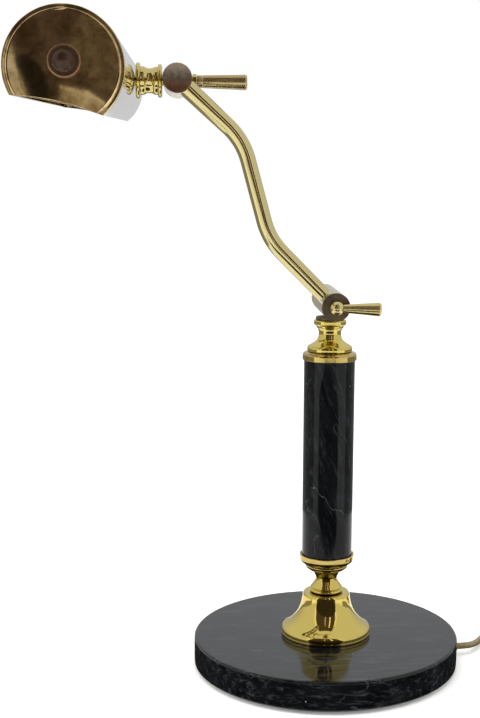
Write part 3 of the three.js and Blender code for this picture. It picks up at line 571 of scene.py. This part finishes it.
# Tarnished brass of the swivel spigot and the lower front cap. Its colours are painted darker still, as a
# painted reflection of the dark room in front of the lamp.
TARNISHED_BRASS_PAINTED_DARK = lathe_turned_brass("tarnished_brass_painted_dark_reflection", 0x54462F, 0x30241A, 0.24, 0.7, "Y", 1.0, metal=0.5)
KNOB_BRASS = lathe_turned_brass(
    "handled_brass_knob", 0x3E2A1E, 0x2C2018, 0.42, 0.6, "Y", 0.1, metal=0.9, coat=0.25
)
RING_BRASS = lathe_turned_brass("switch_ring_brass", 0x86694E, 0x5C4432, 0.26, 0.5, "Y", 0.4, metal=0.85)
PITTED_BRASS = lathe_turned_brass("pitted_brass_rod", 0xA8966C, 0x7C6C48, 0.2, 0.2, "X", 0.0, pits=0.6)
LEVER_BRASS = lathe_turned_brass("handled_brass_lever", 0xC2B47C, 0x9A8450, 0.17, 0.2, "X", 0.0)
# The upper front cap: tarnish clouds, with painted shade that darkens towards the disc's bottom.
TARNISH_AND_PAINTED_SHADE_BRASS = tarnish_and_painted_shade_brass("tarnish_and_painted_shade_cap_brass", UPPER_AXIS[1], BARREL_RADIUS)
BASE_MARBLE = veined_black_marble("black_marble_base", (0, 0, 5), 0x4A4E54, 0.1, 1.35)
COLUMN_MARBLE = veined_black_marble("black_marble_column", (0, 68, 0), 0x34383D, 0.7, 1.24)
FELT = wool_felt()
FLEX = gold_flex()
STEEL = zinc_steel()
PHENOLIC = black_phenolic()
STEATITE = steatite()
GLASS = frosted_glass()


def hand_over(piece, body, slot, material, *nodes):
    """Gives a piece its material, its body and the CAD nodes it stands for, which it hides. slot is not used.
    """
    piece.data.materials.clear()
    piece.data.materials.append(material)
    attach(piece, body)
    if nodes:
        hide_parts(*nodes)


hand_over(cord, "foot", "gold_cord", FLEX, "cord_lead", "cord_coil", "cord_tail")
hand_over(plug, "foot", "gold_cord", FLEX, "plug_body")
hand_over(pins[0], "foot", "steel", STEEL, "plug_pin_left")
hand_over(pins[1], "foot", "steel", STEEL, "plug_pin_right")

# ------------------------------------------------------------------ turned pieces
# name: (body, slot, material, placing, sides, closed profile, corners (radius, height, rounding))
COLUMN_RADIUS = 18.8
ROD_HOLE = 5.3  # radius of the bore that the threaded rod goes through
BOLT_HOLE = 3.3  # radius of the barrels' bore
# Heights along a barrel's axis, in front of the lamp's middle first.
BARREL_GAP, BARREL_END, CAP_FACE = 13.7, 35.4, 38
# Flanks drawn as smooth curves through these points (radius, height).
BELL_FLANK = [
    (32.7, 29.8), (28.8, 32.4), (25.7, 35.2), (23, 38.4),
    (21.1, 41.6), (19.3, 46.2), (18.2, 51), (17.7, 54.4),
]
BELL_INSIDE = [(r - 1.5, h - 0.4) for r, h in reversed(BELL_FLANK)]
WAIST = [(11.9, 60.1), (10.8, 61.5), (9.5, 63.2), (8.5, 65.2), (8.0, 67.4)]
CUP_FLARE = [(11.4, 72.7), (13.9, 74.1), (15.5, 75.4)]
CUP_BEAD = [(15.9, 76), (16.15, 76.7), (16.1, 77.4), (15.7, 77.9)]
CUP_BOWL = [(18, 79), (19.4, 80.1), (20.2, 81.3), (20.4, 82.4)]
NECK_FLANK = [(14.2, 244.2), (10.8, 246.4), (8.9, 248.7), (8.25, 252), (8.5, 254.6), (9.3, 256.4)]
SPOOL = [(9.9, -136.9), (9.9, -134.6), (9, -133), (8.6, -130.7), (8.9, -128.6), (9.7, -127), (9.7, -125.5)]
FIXED_HALF = [
    (BOLT_HOLE, -BARREL_GAP), (BARREL_RADIUS, -BARREL_GAP, 0.3),
    (BARREL_RADIUS, BARREL_END, 0.25), (BOLT_HOLE, BARREL_END),
]
TURNING_HALF = [
    (BOLT_HOLE, -BARREL_END), (BARREL_RADIUS, -BARREL_END, 0.25),
    (BARREL_RADIUS, -BARREL_GAP - 0.3, 0.3), (BOLT_HOLE, -BARREL_GAP - 0.3),
]
REAR_CAP = [(0, 35.7), (BARREL_RADIUS, 35.7, 0.2), (BARREL_RADIUS, CAP_FACE, 0.7), (0, CAP_FACE)]
TURNED = {
    "felt_pad": (
        "foot", "green_felt", FELT, UPRIGHT, 96, False,
        [(0, 0), (94, 0, 0.3), (94, 1.5, 0.4), (0, 1.5)],
    ),
    "marble_base": (
        "foot", "dark_marble", BASE_MARBLE, UPRIGHT, 192, True,
        [(ROD_HOLE, 12.8), (26, 12.8, 0.4), (26, 1.8, 0.5), (97.85, 1.8, 0.6), (99.25, 3.2, 0.6),
         (99.25, 23.5, 1.8), (ROD_HOLE, 23.5)],
    ),
    "bell_foot": (
        "foot", "polished_brass", BRASS_Z, UPRIGHT, 128, True,
        [(33.4, 23.8, 0.25), (33.4, 25.3, 0.2), (32.9, 25.6, 0.1), (33.6, 26, 0.25), (33.6, 28.1, 0.7),
         *curve_run(BELL_FLANK), (16.8, 56, 0.5), (ROD_HOLE, 56), (ROD_HOLE, 54.5), (15.5, 54.5),
         *curve_run(BELL_INSIDE, 3), (31.6, 23.8)],
    ),
    "waist_bead": (
        "foot", "polished_brass", BRASS_Z, UPRIGHT, 96, True,
        [(ROD_HOLE, 56.3), *arc_run(11.25, 57.65, 1.15, -90, 78, 12), (11.3, 58.95, 0.1), *curve_run(WAIST),
         (ROD_HOLE, 67.4)],
    ),
    "lower_collar": (
        "foot", "polished_brass", COLLAR_BRASS, UPRIGHT, 128, True,
        [(ROD_HOLE, 67.7), (7.9, 67.7, 0.4), (9.6, 71.2, 0.4), (9.9, 71.9, 0.15), *curve_run(CUP_FLARE),
         *curve_run(CUP_BEAD), (15.4, 78.05, 0.1), (16.7, 78.3, 0.2), *curve_run(CUP_BOWL), (20.4, 85.7, 0.4),
         (19.3, 85.7), (19.3, 84), (ROD_HOLE, 84)],
    ),
    "marble_column": (
        "foot", "dark_marble", COLUMN_MARBLE, UPRIGHT, 128, True,
        [(ROD_HOLE, 84.3), (COLUMN_RADIUS, 84.3, 0.3), (COLUMN_RADIUS, 236, 0.3), (ROD_HOLE, 236)],
    ),
    "upper_collar": (
        "foot", "polished_brass", COLLAR_BRASS, UPRIGHT, 128, True,
        [(19.1, 232.9, 0.1), (19.95, 232.9, 0.3), (19.95, 237, 0.5), (18.95, 238.3, 0.5), (16.95, 239, 0.5),
         (ROD_HOLE, 239), (ROD_HOLE, 236.3), (19.1, 236.3)],
    ),
    "turned_neck": (
        "foot", "polished_brass", BRASS_Z, UPRIGHT, 96, True,
        [(ROD_HOLE, 239.3), (16.3, 239.3, 0.2), (16.6, 240, 0.3), (16.6, 242, 0.6), (15.9, 243.3, 0.4),
         *curve_run(NECK_FLANK), (10, 256.8, 0.2), (10.1, 258, 0.2), (11.95, 259.2, 0.6), (11.95, 262.3, 0.8),
         (7, 262.3, 0.2), (7, 247.3), (ROD_HOLE, 247.3)],
    ),
    "strain_relief": (
        "foot", "gold_cord", FLEX, CORD_EXIT, 40, True,
        [(2.7, 82), (3.8, 82, 0.3), (3.8, 99.55), (4.9, 99.55, 0.2), (4.9, 100.55, 0.4), (3.8, 101.15, 0.2),
         (3.1, RELIEF_END, 0.3), (2.45, RELIEF_END, 0.1), (2.45, 100)],
    ),
    "swivel_spigot": (
        "swivel_head", "dull_brass", TARNISHED_BRASS_PAINTED_DARK, UPRIGHT, 80, False,
        [(0, 247.6), (6.7, 247.6, 0.2), (6.7, 262.6), (10.6, 262.6, 0.2), (10.6, 264.75, 0.4), (0, 264.75)],
    ),
    "lower_barrel": ("swivel_head", "polished_brass", BRASS_Y, LOWER_BARREL, 96, True, FIXED_HALF),
    "lower_rear_cap": ("swivel_head", "polished_brass", BRASS_Y, LOWER_BARREL, 96, False, REAR_CAP),
    "lower_knuckle": ("arm", "polished_brass", BRASS_Y, LOWER_BARREL, 96, True, TURNING_HALF),
    "lower_front_cap": (
        "arm", "dull_brass", TARNISHED_BRASS_PAINTED_DARK, LOWER_BARREL, 96, True,
        [(BOLT_HOLE, -CAP_FACE, 0.2), (BARREL_RADIUS, -CAP_FACE, 0.7), (BARREL_RADIUS, -35.7, 0.2),
         (BOLT_HOLE, -35.7)],
    ),
    "upper_knuckle": ("arm", "polished_brass", BRASS_Y, UPPER_BARREL, 96, True, TURNING_HALF),
    "upper_front_cap": (
        "arm", "dull_brass", TARNISH_AND_PAINTED_SHADE_BRASS, UPPER_BARREL, 96, False,
        [(0, -CAP_FACE), (BARREL_RADIUS, -CAP_FACE, 0.7), (BARREL_RADIUS, -35.7, 0.2), (0, -35.7)],
    ),
    "upper_barrel": ("upper_joint", "polished_brass", BRASS_Y, UPPER_BARREL, 96, True, FIXED_HALF),
    "upper_rear_cap": ("upper_joint", "polished_brass", BRASS_Y, UPPER_BARREL, 96, False, REAR_CAP),
    "clamp_ball_nut": (
        "lever", "polished_brass", LEVER_BRASS, LOWER_BARREL, 64, False,
        [(0, -BALL_REACH - 5), *arc_run(0, -BALL_REACH, 5, -86, 59, 28), (0, -38.3)],
    ),
    "clamp_lever": (
        "lever", "polished_brass", LEVER_BRASS, LEVER_AXIS, 64, False,
        [(0, 4.2), (2.85, 4.2, 0.2), (4.9, 29.6, 0.35), (4.3, 30.8, 0.3), (4.0, 31, 0.15), (0, 31)],
    ),
    "shade_coupler": (
        "shade", "polished_brass", BRASS_X, ALONG_HEAD, 96, False,
        [(0, -149), (3.5, -149, 0.3), (3.5, -140.2), *arc_run(11.1, -138.7, 1.5, -90, 90, 16),
         *curve_run(SPOOL), *arc_run(10.15, -123.4, 1.55, -110, 90, 18), (3.5, -121.75), (3.5, -92),
         (0, -92)],
    ),
    "handle_collar": (
        "handle", "polished_brass", BRASS_X, ALONG_HEAD, 64, True,
        [(3.8, -100.6), (5.3, -100.6, 0.3), (5.3, -97.6, 0.3), (3.8, -97.6)],
    ),
    "shade_handle": (
        "handle", "polished_brass", PITTED_BRASS, ALONG_HEAD, 64, False,
        [(0, -91), (3.8, -91), (3.8, -97.3), (4.3, -97.3, 0.25), (4.42, -93.8), (4.2, -93.4, 0.1),
         (4.47, -93, 0.1), (5.4, -63.1, 0.5), (4.9, -62.2, 0.4), (4.2, -61.9, 0.3), (0, -61.9)],
    ),
    "switch_body": (
        "shade", "black_plastic", PHENOLIC, SWITCH_AXIS, 64, False,
        [(0, -176.1), (9, -176.1, 0.6), (9, -154.1, 1.2), (0, -154.1)],
    ),
    "switch_ring": (
        "shade", "polished_brass", RING_BRASS, SWITCH_AXIS, 80, True,
        [(3, -178.3), (9.8, -178.3, 0.1), (9.8, -178.9, 0.2), (9.3, -180.1, 0.35), (8.7, -180.3, 0.3),
         (6.8, -179.5, 0.5), (3, -179.1)],
    ),
    "switch_knob": (
        "knob", "polished_brass", KNOB_BRASS, SWITCH_AXIS, 80, False,
        [(0, -192.5), *arc_run(0, -186, 6.5, -87, 67, 36), (2.5, -176.4), (0, -176.4)],
    ),
}
for name, (body, slot, material, place, sides, closed, corners) in TURNED.items():
    piece = lathe(name + "_turned", corners, place, closed, sides)
    hand_over(piece, body, slot, material, name)

# ------------------------------------------------------------------ lampholders and bulbs
HOLDER_PROFILE = [
    (0, 11.8), (4.9, 11.8, 0.3), (4.9, 15.8), (12, 15.8, 0.3), (13, 16.8, 0.5), (13, 24, 0.3),
    (12.4, 24.6, 0.3), (13, 25.2, 0.3), (13, 44, 0.8), (7.4, 44, 0.5), (7.4, 26), (0, 26),
]
# The screw cap's thread is drawn as rolled ridges, one thread's pitch apart.
THREAD_PITCH = 2.8
THREAD = [
    (6.62 + 0.28 * math.cos(2 * math.pi * h / THREAD_PITCH), 30 + h, 0) for h in np.linspace(0, 14.5, 60)
]
CAP_PROFILE = [(0, 27), (3, 27, 0.3), *THREAD, (6.5, 45), (0, 45)]
BULB_PROFILE = [
    (0, 45.3), (6.6, 45.3, 0.3), (6.6, 48.3, 1), *curve_run([(8, 51.3), (11.7, 57.3), (12.5, 61.3)]),
    (12.5, 100), (12.5, 143.3, 9), (0, 143.3),
]
for side, direction in (("near", 180), ("far", 0)):
    place = IN_SHADE @ turned_by(direction, "Z") @ LAY_ALONG_Y
    for part, slot, material, profile in (
        ("lampholder", "white_ceramic", STEATITE, HOLDER_PROFILE),
        ("bulb_cap", "steel", STEEL, CAP_PROFILE),
        ("bulb_envelope", "bulb_glass", GLASS, BULB_PROFILE),
    ):
        piece = lathe(f"{side}_{part}_turned", profile, place, sides=64)
        hand_over(piece, "shade", slot, material, f"{side}_{part}")

# ------------------------------------------------------------------ arm
ARM_Y = -24.0
ARM_BEND = 50.0
ARM_THICK, ARM_THIN = 6.25, 5.55  # radius at the top, and from ARM_TAPER of the length on
ARM_TAPER = 0.42
ARM_INSET = 8.2  # the tube's ends stop this far from the barrels' axes
ARM_KNEES = [(-65.8, 390.8), (-47.1, 322.3)]


def arm_route():
    """Straight stretches joined by parabolas that start and end at the same distance from each knee."""
    corners = np.array([UPPER_AXIS, *ARM_KNEES, LOWER_AXIS], float)
    ends = []
    for i in (1, 2):
        back = corners[i - 1] - corners[i]
        onward = corners[i + 1] - corners[i]
        back, onward = back / np.linalg.norm(back), onward / np.linalg.norm(onward)
        reach = ARM_BEND * math.tan((math.pi - math.acos(np.dot(back, onward))) / 2)
        ends.append((corners[i] + back * reach, corners[i], corners[i] + onward * reach))
    t = np.linspace(0, 1, 28)[:, None]
    line = np.linspace(0, 1, 16, endpoint=False)[:, None]
    stretches = []
    start = corners[0]
    for a, knee, b in ends:
        stretches.append(start + (a - start) * line)
        stretches.append(((1 - t) ** 2 * a + 2 * t * (1 - t) * knee + t**2 * b)[:-1])
        start = b
    stretches.append(start + (corners[3] - start) * np.linspace(0, 1, 16)[:, None])
    flat = np.concatenate(stretches)
    return np.stack([flat[:, 0], np.full(len(flat), ARM_Y), flat[:, 1]], axis=1)


def arm_piece():
    """The arm's tube: its radius goes from thick to thin along a smooth step over its first part,
    and it stops just inside the two barrels."""
    route = arm_route()
    run = np.concatenate([[0], np.cumsum(np.linalg.norm(np.diff(route, axis=0), axis=1))])
    radii = ARM_THICK - (ARM_THICK - ARM_THIN) * smooth_step(run / run[-1] / ARM_TAPER)
    kept = (run > ARM_INSET) & (run < run[-1] - ARM_INSET)
    return tube_along("arm_tube_drawn", route[kept], radii[kept], 48)


hand_over(arm_piece(), "arm", "polished_brass", DRAWN_BRASS, "arm_tube")

# ------------------------------------------------------------------ shade
SHADE_RADIUS = 35.0
SHADE_WALL = 0.9
SHADE_HALF = 178.0
CHORD = 22.3
CHORD_RISE = 1.8
STEP = 1.5  # radius of the rounded step round the cap's field
STEP_DEPTH = 1.15
RIM_ROUNDING = 0.6
PAN_BACK = 1.3  # of the back of the cap's field, behind its front
OPEN_HALF = math.degrees(math.acos(CHORD / SHADE_RADIUS))
SECTION_POINTS, LIP_POINTS = 150, 5  # on each of the sheet's arcs, and on each lip


def shade_shell():
    """A sheet bent round the shade's axis: its section goes out along one arc, round a lip, back
    along the arc one wall thickness further in and round the other lip, drawn along Y."""
    start, end = math.radians(OPEN_HALF + 0.5), math.radians(360 - OPEN_HALF - 0.5)
    arc = np.linspace(start, end, SECTION_POINTS)
    lip = np.linspace(0, math.pi, LIP_POINTS + 2)[1:-1]
    middle, half = SHADE_RADIUS - SHADE_WALL / 2, SHADE_WALL / 2
    # Angles are counted from straight down, so (x, z) = (r sin a, -r cos a).
    outside, inside = np.full(SECTION_POINTS, middle + half), np.full(SECTION_POINTS, middle - half)
    radius = np.concatenate([outside, middle + half * np.cos(lip), inside, middle - half * np.cos(lip)])
    reach = half * np.sin(lip) / middle
    angle = np.concatenate([arc, end + reach, arc[::-1], start - reach])
    along = np.concatenate([[-175.0, -174.6], np.linspace(-170, 170, 30), [174.6, 175.0]])
    x = np.broadcast_to(radius * np.sin(angle), (len(along), len(radius)))
    z = np.broadcast_to(-radius * np.cos(angle), (len(along), len(radius)))
    y = np.broadcast_to(along[:, None], x.shape)
    rows, columns = x.shape
    points = laid(np.stack([x, y, z], axis=-1).reshape(-1, 3), ROLLED_SHADE)
    # Each end is closed by faces between the two arcs, and by a fan over each lip.
    first_lip = np.arange(SECTION_POINTS - 1, SECTION_POINTS + LIP_POINTS + 1)
    last_lip = np.append(np.arange(columns - LIP_POINTS - 1, columns), 0)
    steps = np.arange(SECTION_POINTS - 1)
    ends, fans = [], []
    for first, order in ((0, -1), ((rows - 1) * columns, 1)):
        outer = first + steps
        inner = first + columns - LIP_POINTS - 1 - steps
        ends.append(np.stack([outer, outer + 1, inner - 1, inner], axis=1)[:, ::order])
        for ring in (first_lip, last_lip):
            hub = np.full(LIP_POINTS, ring[0])
            fans.append(first + np.stack([hub, ring[1:-1], ring[2:]], axis=1)[:, ::order])
    quads = np.concatenate([wrapped_quads(rows, columns, False), *ends])
    return make_piece("shade_shell_rolled", points, quads, np.concatenate(fans), 40)


def end_cap(name, front):
    """A pressed pan: a flat field with a rounded step down to a narrow flat edge. Each of its rings
    is the shade's arc at an inset from the rim, closed by the chord at a quarter of that inset, and
    lies at its own depth behind the field. The chord side rises in its middle as a parabola."""
    wall = SHADE_WALL + 0.3  # the pan's side, which goes into the shade
    field = [(inset, 0.0) for inset in (32.0, 26.0, 20.0, 14.0, 9.0, 6.0, 4.4, 3.8)]
    quarter = np.radians(np.linspace(0, 90, 7))
    step = [(3.6 - STEP * math.sin(a), 0.75 * STEP * (1 - math.cos(a))) for a in quarter]
    edge = [
        (RIM_ROUNDING * (1 - math.sin(a)), STEP_DEPTH + RIM_ROUNDING * (1 - math.cos(a))) for a in quarter
    ]
    rings = [*field, *step, *((inset, STEP_DEPTH) for inset in (2.0, 1.8, 0.9)), *edge, (0, 2.6), (0.05, 2.7)]
    rings += [(wall, 2.7), (wall, 7.6), (wall + 0.1, 7.7), (wall + 0.9, 7.7), (wall + 1, 7.6)]
    rings += [(wall + 1, 3.6), (wall + 1.6, 2.35), (wall + 2.2, 2.3), (wall + 4, PAN_BACK)]
    rings += [(16.0, PAN_BACK), (30.0, PAN_BACK)]
    grid = []
    for inset, depth in rings:
        radius = SHADE_RADIUS - inset
        # Near the middle the quarter rule would put the chord outside the arc.
        chord = CHORD - 0.25 * inset if inset < 12 else 0.6 * radius
        half_angle, half_chord = math.acos(chord / radius), math.sqrt(radius**2 - chord**2)
        arc = np.linspace(half_angle, 2 * math.pi - half_angle, 140)
        across = np.linspace(-half_chord, half_chord, 42)[1:-1]
        x = np.concatenate([radius * np.sin(arc), across])
        rise = CHORD_RISE * (1 - (across / half_chord) ** 2)
        z = np.concatenate([-radius * np.cos(arc), rise - chord])
        y = np.full_like(x, front * (SHADE_HALF - depth))
        grid.append(np.stack([x, y, z], axis=-1))
    shape = np.array(grid)
    placed = laid(shape.reshape(-1, 3), ROLLED_SHADE).reshape(shape.shape)
    return loft(name, placed, 40)


hand_over(shade_shell(), "shade", "polished_brass", SHEET_BRASS, "shade_shell")
hand_over(end_cap("near_end_cap_pressed", -1), "shade", "polished_brass", CAP_BRASS, "near_end_cap")
hand_over(end_cap("far_end_cap_pressed", 1), "shade", "polished_brass", CAP_BRASS, "far_end_cap")

# ------------------------------------------------------------------ CAD nodes that keep their shape
KEPT_NODES = (
    "rod_nut", "rod_washer", "threaded_rod", "lower_bolt", "upper_pin",
    "coupler_set_screw", "coupler_nut", "lamp_bracket",
)
for name in KEPT_NODES:
    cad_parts[name].data.materials.clear()
    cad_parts[name].data.materials.append(STEEL)


# ------------------------------------------------------------------ floor and light
# This section is in metres. The turns and heights of a studio card are in degrees.
STUDIO_MIDDLE = np.array([0.0, 0.0, 0.25])
WHITE, LOW_BEHIND = (1, 1, 1, 1), (0.64, 0.65, 0.68, 1)
CARD_HEIGHT = 0.0002  # of the cards on the table
FLOOR_HEIGHT = -0.0004
FLOOR_HALF = 12.0
FLAG_DISTANCE = -0.3  # y of the flag
END_VIEW = -2.95  # y of what the shade's near end faces


def stage_sheet(name, points, faces, links):
    mesh = bpy.data.meshes.new(name)
    mesh.from_pydata(np.asarray(points).tolist(), [], np.asarray(faces).tolist())
    sheet = bpy.data.objects.new(name, mesh)
    bpy.context.scene.collection.objects.link(sheet)
    material = new_material(name + "_finish")
    sheet.data.materials.append(finish_material(material, links))
    return sheet


def gloss_card(name, points, faces, colour, glow):
    """A sheet that gives off an even colour and that only gloss shows."""
    links = {"Base Color": linear(0x000000), "Roughness": 1.0, "Specular IOR Level": 0.0}
    links.update({"Emission Color": linear(colour), "Emission Strength": glow})
    card = stage_sheet(name, points, faces, links)
    for ray in ("camera", "diffuse", "shadow", "transmission", "volume_scatter"):
        setattr(card, f"visible_{ray}", False)


def grid_faces(rows, columns):
    i, j = (a.ravel() for a in np.meshgrid(np.arange(rows - 1), np.arange(columns - 1), indexing="ij"))
    first = i * columns + j
    return np.stack([first, first + 1, first + columns + 1, first + columns], axis=1)


def studio_card(name, turns, heights, distance, colour, glow, steps=24):
    """Part of a sphere round the lamp, from one compass turn and height to another, in degrees.
    Turn 0 is straight in front of the lamp and + is to its right."""
    turn = np.radians(np.linspace(*turns, steps))[:, None]
    height = np.radians(np.linspace(*heights, steps))[None, :]
    x, y = np.sin(turn) * np.cos(height), -np.cos(turn) * np.cos(height)
    z = np.sin(height) + 0 * turn
    points = STUDIO_MIDDLE + distance * np.stack([x, y, z], axis=-1).reshape(-1, 3)
    gloss_card(name, points, grid_faces(steps, steps), colour, glow)


def floor_card(name, turns, radii, colour, glow, steps=48):
    """Part of a ring on the table, from one compass turn and distance to another."""
    turn = np.radians(np.linspace(*turns, steps))[:, None]
    reach = np.linspace(*radii, 3)[None, :]
    x, y = np.sin(turn) * reach, -np.cos(turn) * reach
    points = np.stack([x, y, np.full_like(x, CARD_HEIGHT)], axis=-1).reshape(-1, 3)
    gloss_card(name, points, grid_faces(steps, 3), colour, glow)


def wall_card(name, y, outline, colour, glow):
    """An upright card of one face, with the outline (x, z), that faces along Y."""
    corners = [(x, y, z) for x, z in outline]
    gloss_card(name, corners, [tuple(range(len(corners)))], colour, glow)


def softbox(name, place, size, power):
    data = bpy.data.lights.new(name, "AREA")
    data.shape = "RECTANGLE"
    data.size, data.size_y = size
    data.energy = power
    light = bpy.data.objects.new(name, data)
    light.location = place
    light.rotation_euler = (Vector(STUDIO_MIDDLE) - Vector(place)).to_track_quat("-Z", "Y").to_euler()
    light.visible_glossy = False
    bpy.context.scene.collection.objects.link(light)


def studio_world():
    """White behind the lamp for the camera. In gloss it is white at the sides and overhead, and
    greyer low down behind the lamp."""
    world = bpy.data.worlds.new("studio")
    world.use_nodes = True
    outward = node(world, "ShaderNodeTexCoord", out="Generated")
    backward = node(world, "ShaderNodeSeparateXYZ", {0: outward}, "Y")
    upward = node(world, "ShaderNodeSeparateXYZ", {0: outward}, "Z")
    behind = node(world, RAMP, {"Fac": backward}, stops=[(0.25, 0.0), (0.85, 1.0)])
    low = node(world, RAMP, {"Fac": upward}, stops=[(0.12, 1.0), (0.6, 0.0)])
    shade = node(world, MATH, {0: behind, 1: low}, operation="MULTIPLY")
    around = node(world, MIX, {"Factor": shade, 6: WHITE, 7: LOW_BEHIND}, **COLOURS)
    camera_ray = node(world, "ShaderNodeLightPath", out="Is Camera Ray")
    seen = node(world, MIX, {"Factor": camera_ray, 6: around, 7: WHITE}, **COLOURS)
    world.node_tree.links.new(seen, world.node_tree.nodes["Background"].inputs["Color"])
    bpy.context.scene.world = world


floor_links = {"Base Color": linear(0xF6F5F3), "Roughness": 0.9, "Specular IOR Level": 0.2}
floor_links.update({"Emission Color": linear(0xFFFFFF), "Emission Strength": 0.16})
low, high = -FLOOR_HALF, FLOOR_HALF
floor_outline = ((low, low), (high, low), (high, high), (low, high))
floor_corners = [(x, y, FLOOR_HEIGHT) for x, y in floor_outline]
stage_sheet("floor", floor_corners, [(0, 1, 2, 3)], floor_links)
# The unlit side of the studio, where the camera stands, and the narrow lights on that side.
studio_card("unlit_side", (-49, 34), (-4, 72), 3.2, 0x5C4F48, 1.0)
floor_card("dark_table_edge", (-180, 180), (0.101, 0.18), 0x2A2826, 1.0, 120)
floor_card("dim_floor_behind", (75, 285), (0.45, 6.0), 0xA8A6A2, 1.0, 80)
FLAG_OUTLINE = [
    (-0.36, 0.001), (0.22, 0.001), (0.22, 0.131), (0.1, 0.191), (-0.12, 0.191), (-0.36, 0.131),
]
wall_card("flag_before_the_column", FLAG_DISTANCE, FLAG_OUTLINE, 0x3A3430, 1.0)
studio_card("left_strip_light", (-56, -49), (0, 55), 3.0, 0xFFF8EA, 1.5)
studio_card("right_strip_light", (34, 40), (0, 55), 3.0, 0xFFF8EA, 1.5)
studio_card("middle_tube_light", (-10, -8), (14, 58), 3.0, 0xFFEADC, 1.6)
studio_card("second_tube_light", (10, 14), (3, 62), 3.0, 0xFFEADC, 2.0)
# What the shade's near end faces: a pale sill, a bright doorway and a dark one, and a wall.
DOOR_EDGE = [(-0.54, 0.52), (-0.537, 0.49), (-0.523, 0.46), (-0.505, 0.41), (-0.5, 0.36)]
END_CARDS = {
    "pale_sill": (
        0xFFF4E0, 0.66,
        [(-0.424, 0.444), (-0.35, 0.43), (-0.31, 0.405), (-0.29, 0.36), (-0.424, 0.36)],
    ),
    "bright_doorway": (
        0xFFF8EA, 0.66,
        [(-0.64, 0.6), (-0.56, 0.575), (-0.546, 0.546), *DOOR_EDGE, (-0.64, 0.36)],
    ),
    "dark_doorway": (
        0x2A2622, 1.0,
        [*DOOR_EDGE, (-0.452, 0.36), (-0.452, 0.44), (-0.47, 0.49), (-0.5, 0.52)],
    ),
    "dim_wall": (
        0x75695C, 1.0,
        [(-0.4, 0.5), (-0.39, 0.6), (-0.34, 0.65), (-0.25, 0.6), (-0.25, 0.43), (-0.33, 0.44)],
    ),
}
for name, (colour, glow, outline) in END_CARDS.items():
    wall_card(name, END_VIEW, outline, colour, glow)
softbox("overhead", (-0.6, -0.4, 2.4), (1.6, 1.6), 30)
softbox("left_window", (-2.4, 0.2, 1.0), (1.4, 1.6), 22)
softbox("right_window", (2.3, 0.4, 0.9), (1.2, 1.4), 16)
studio_world()
bpy.context.scene.view_settings.view_transform = "Standard"
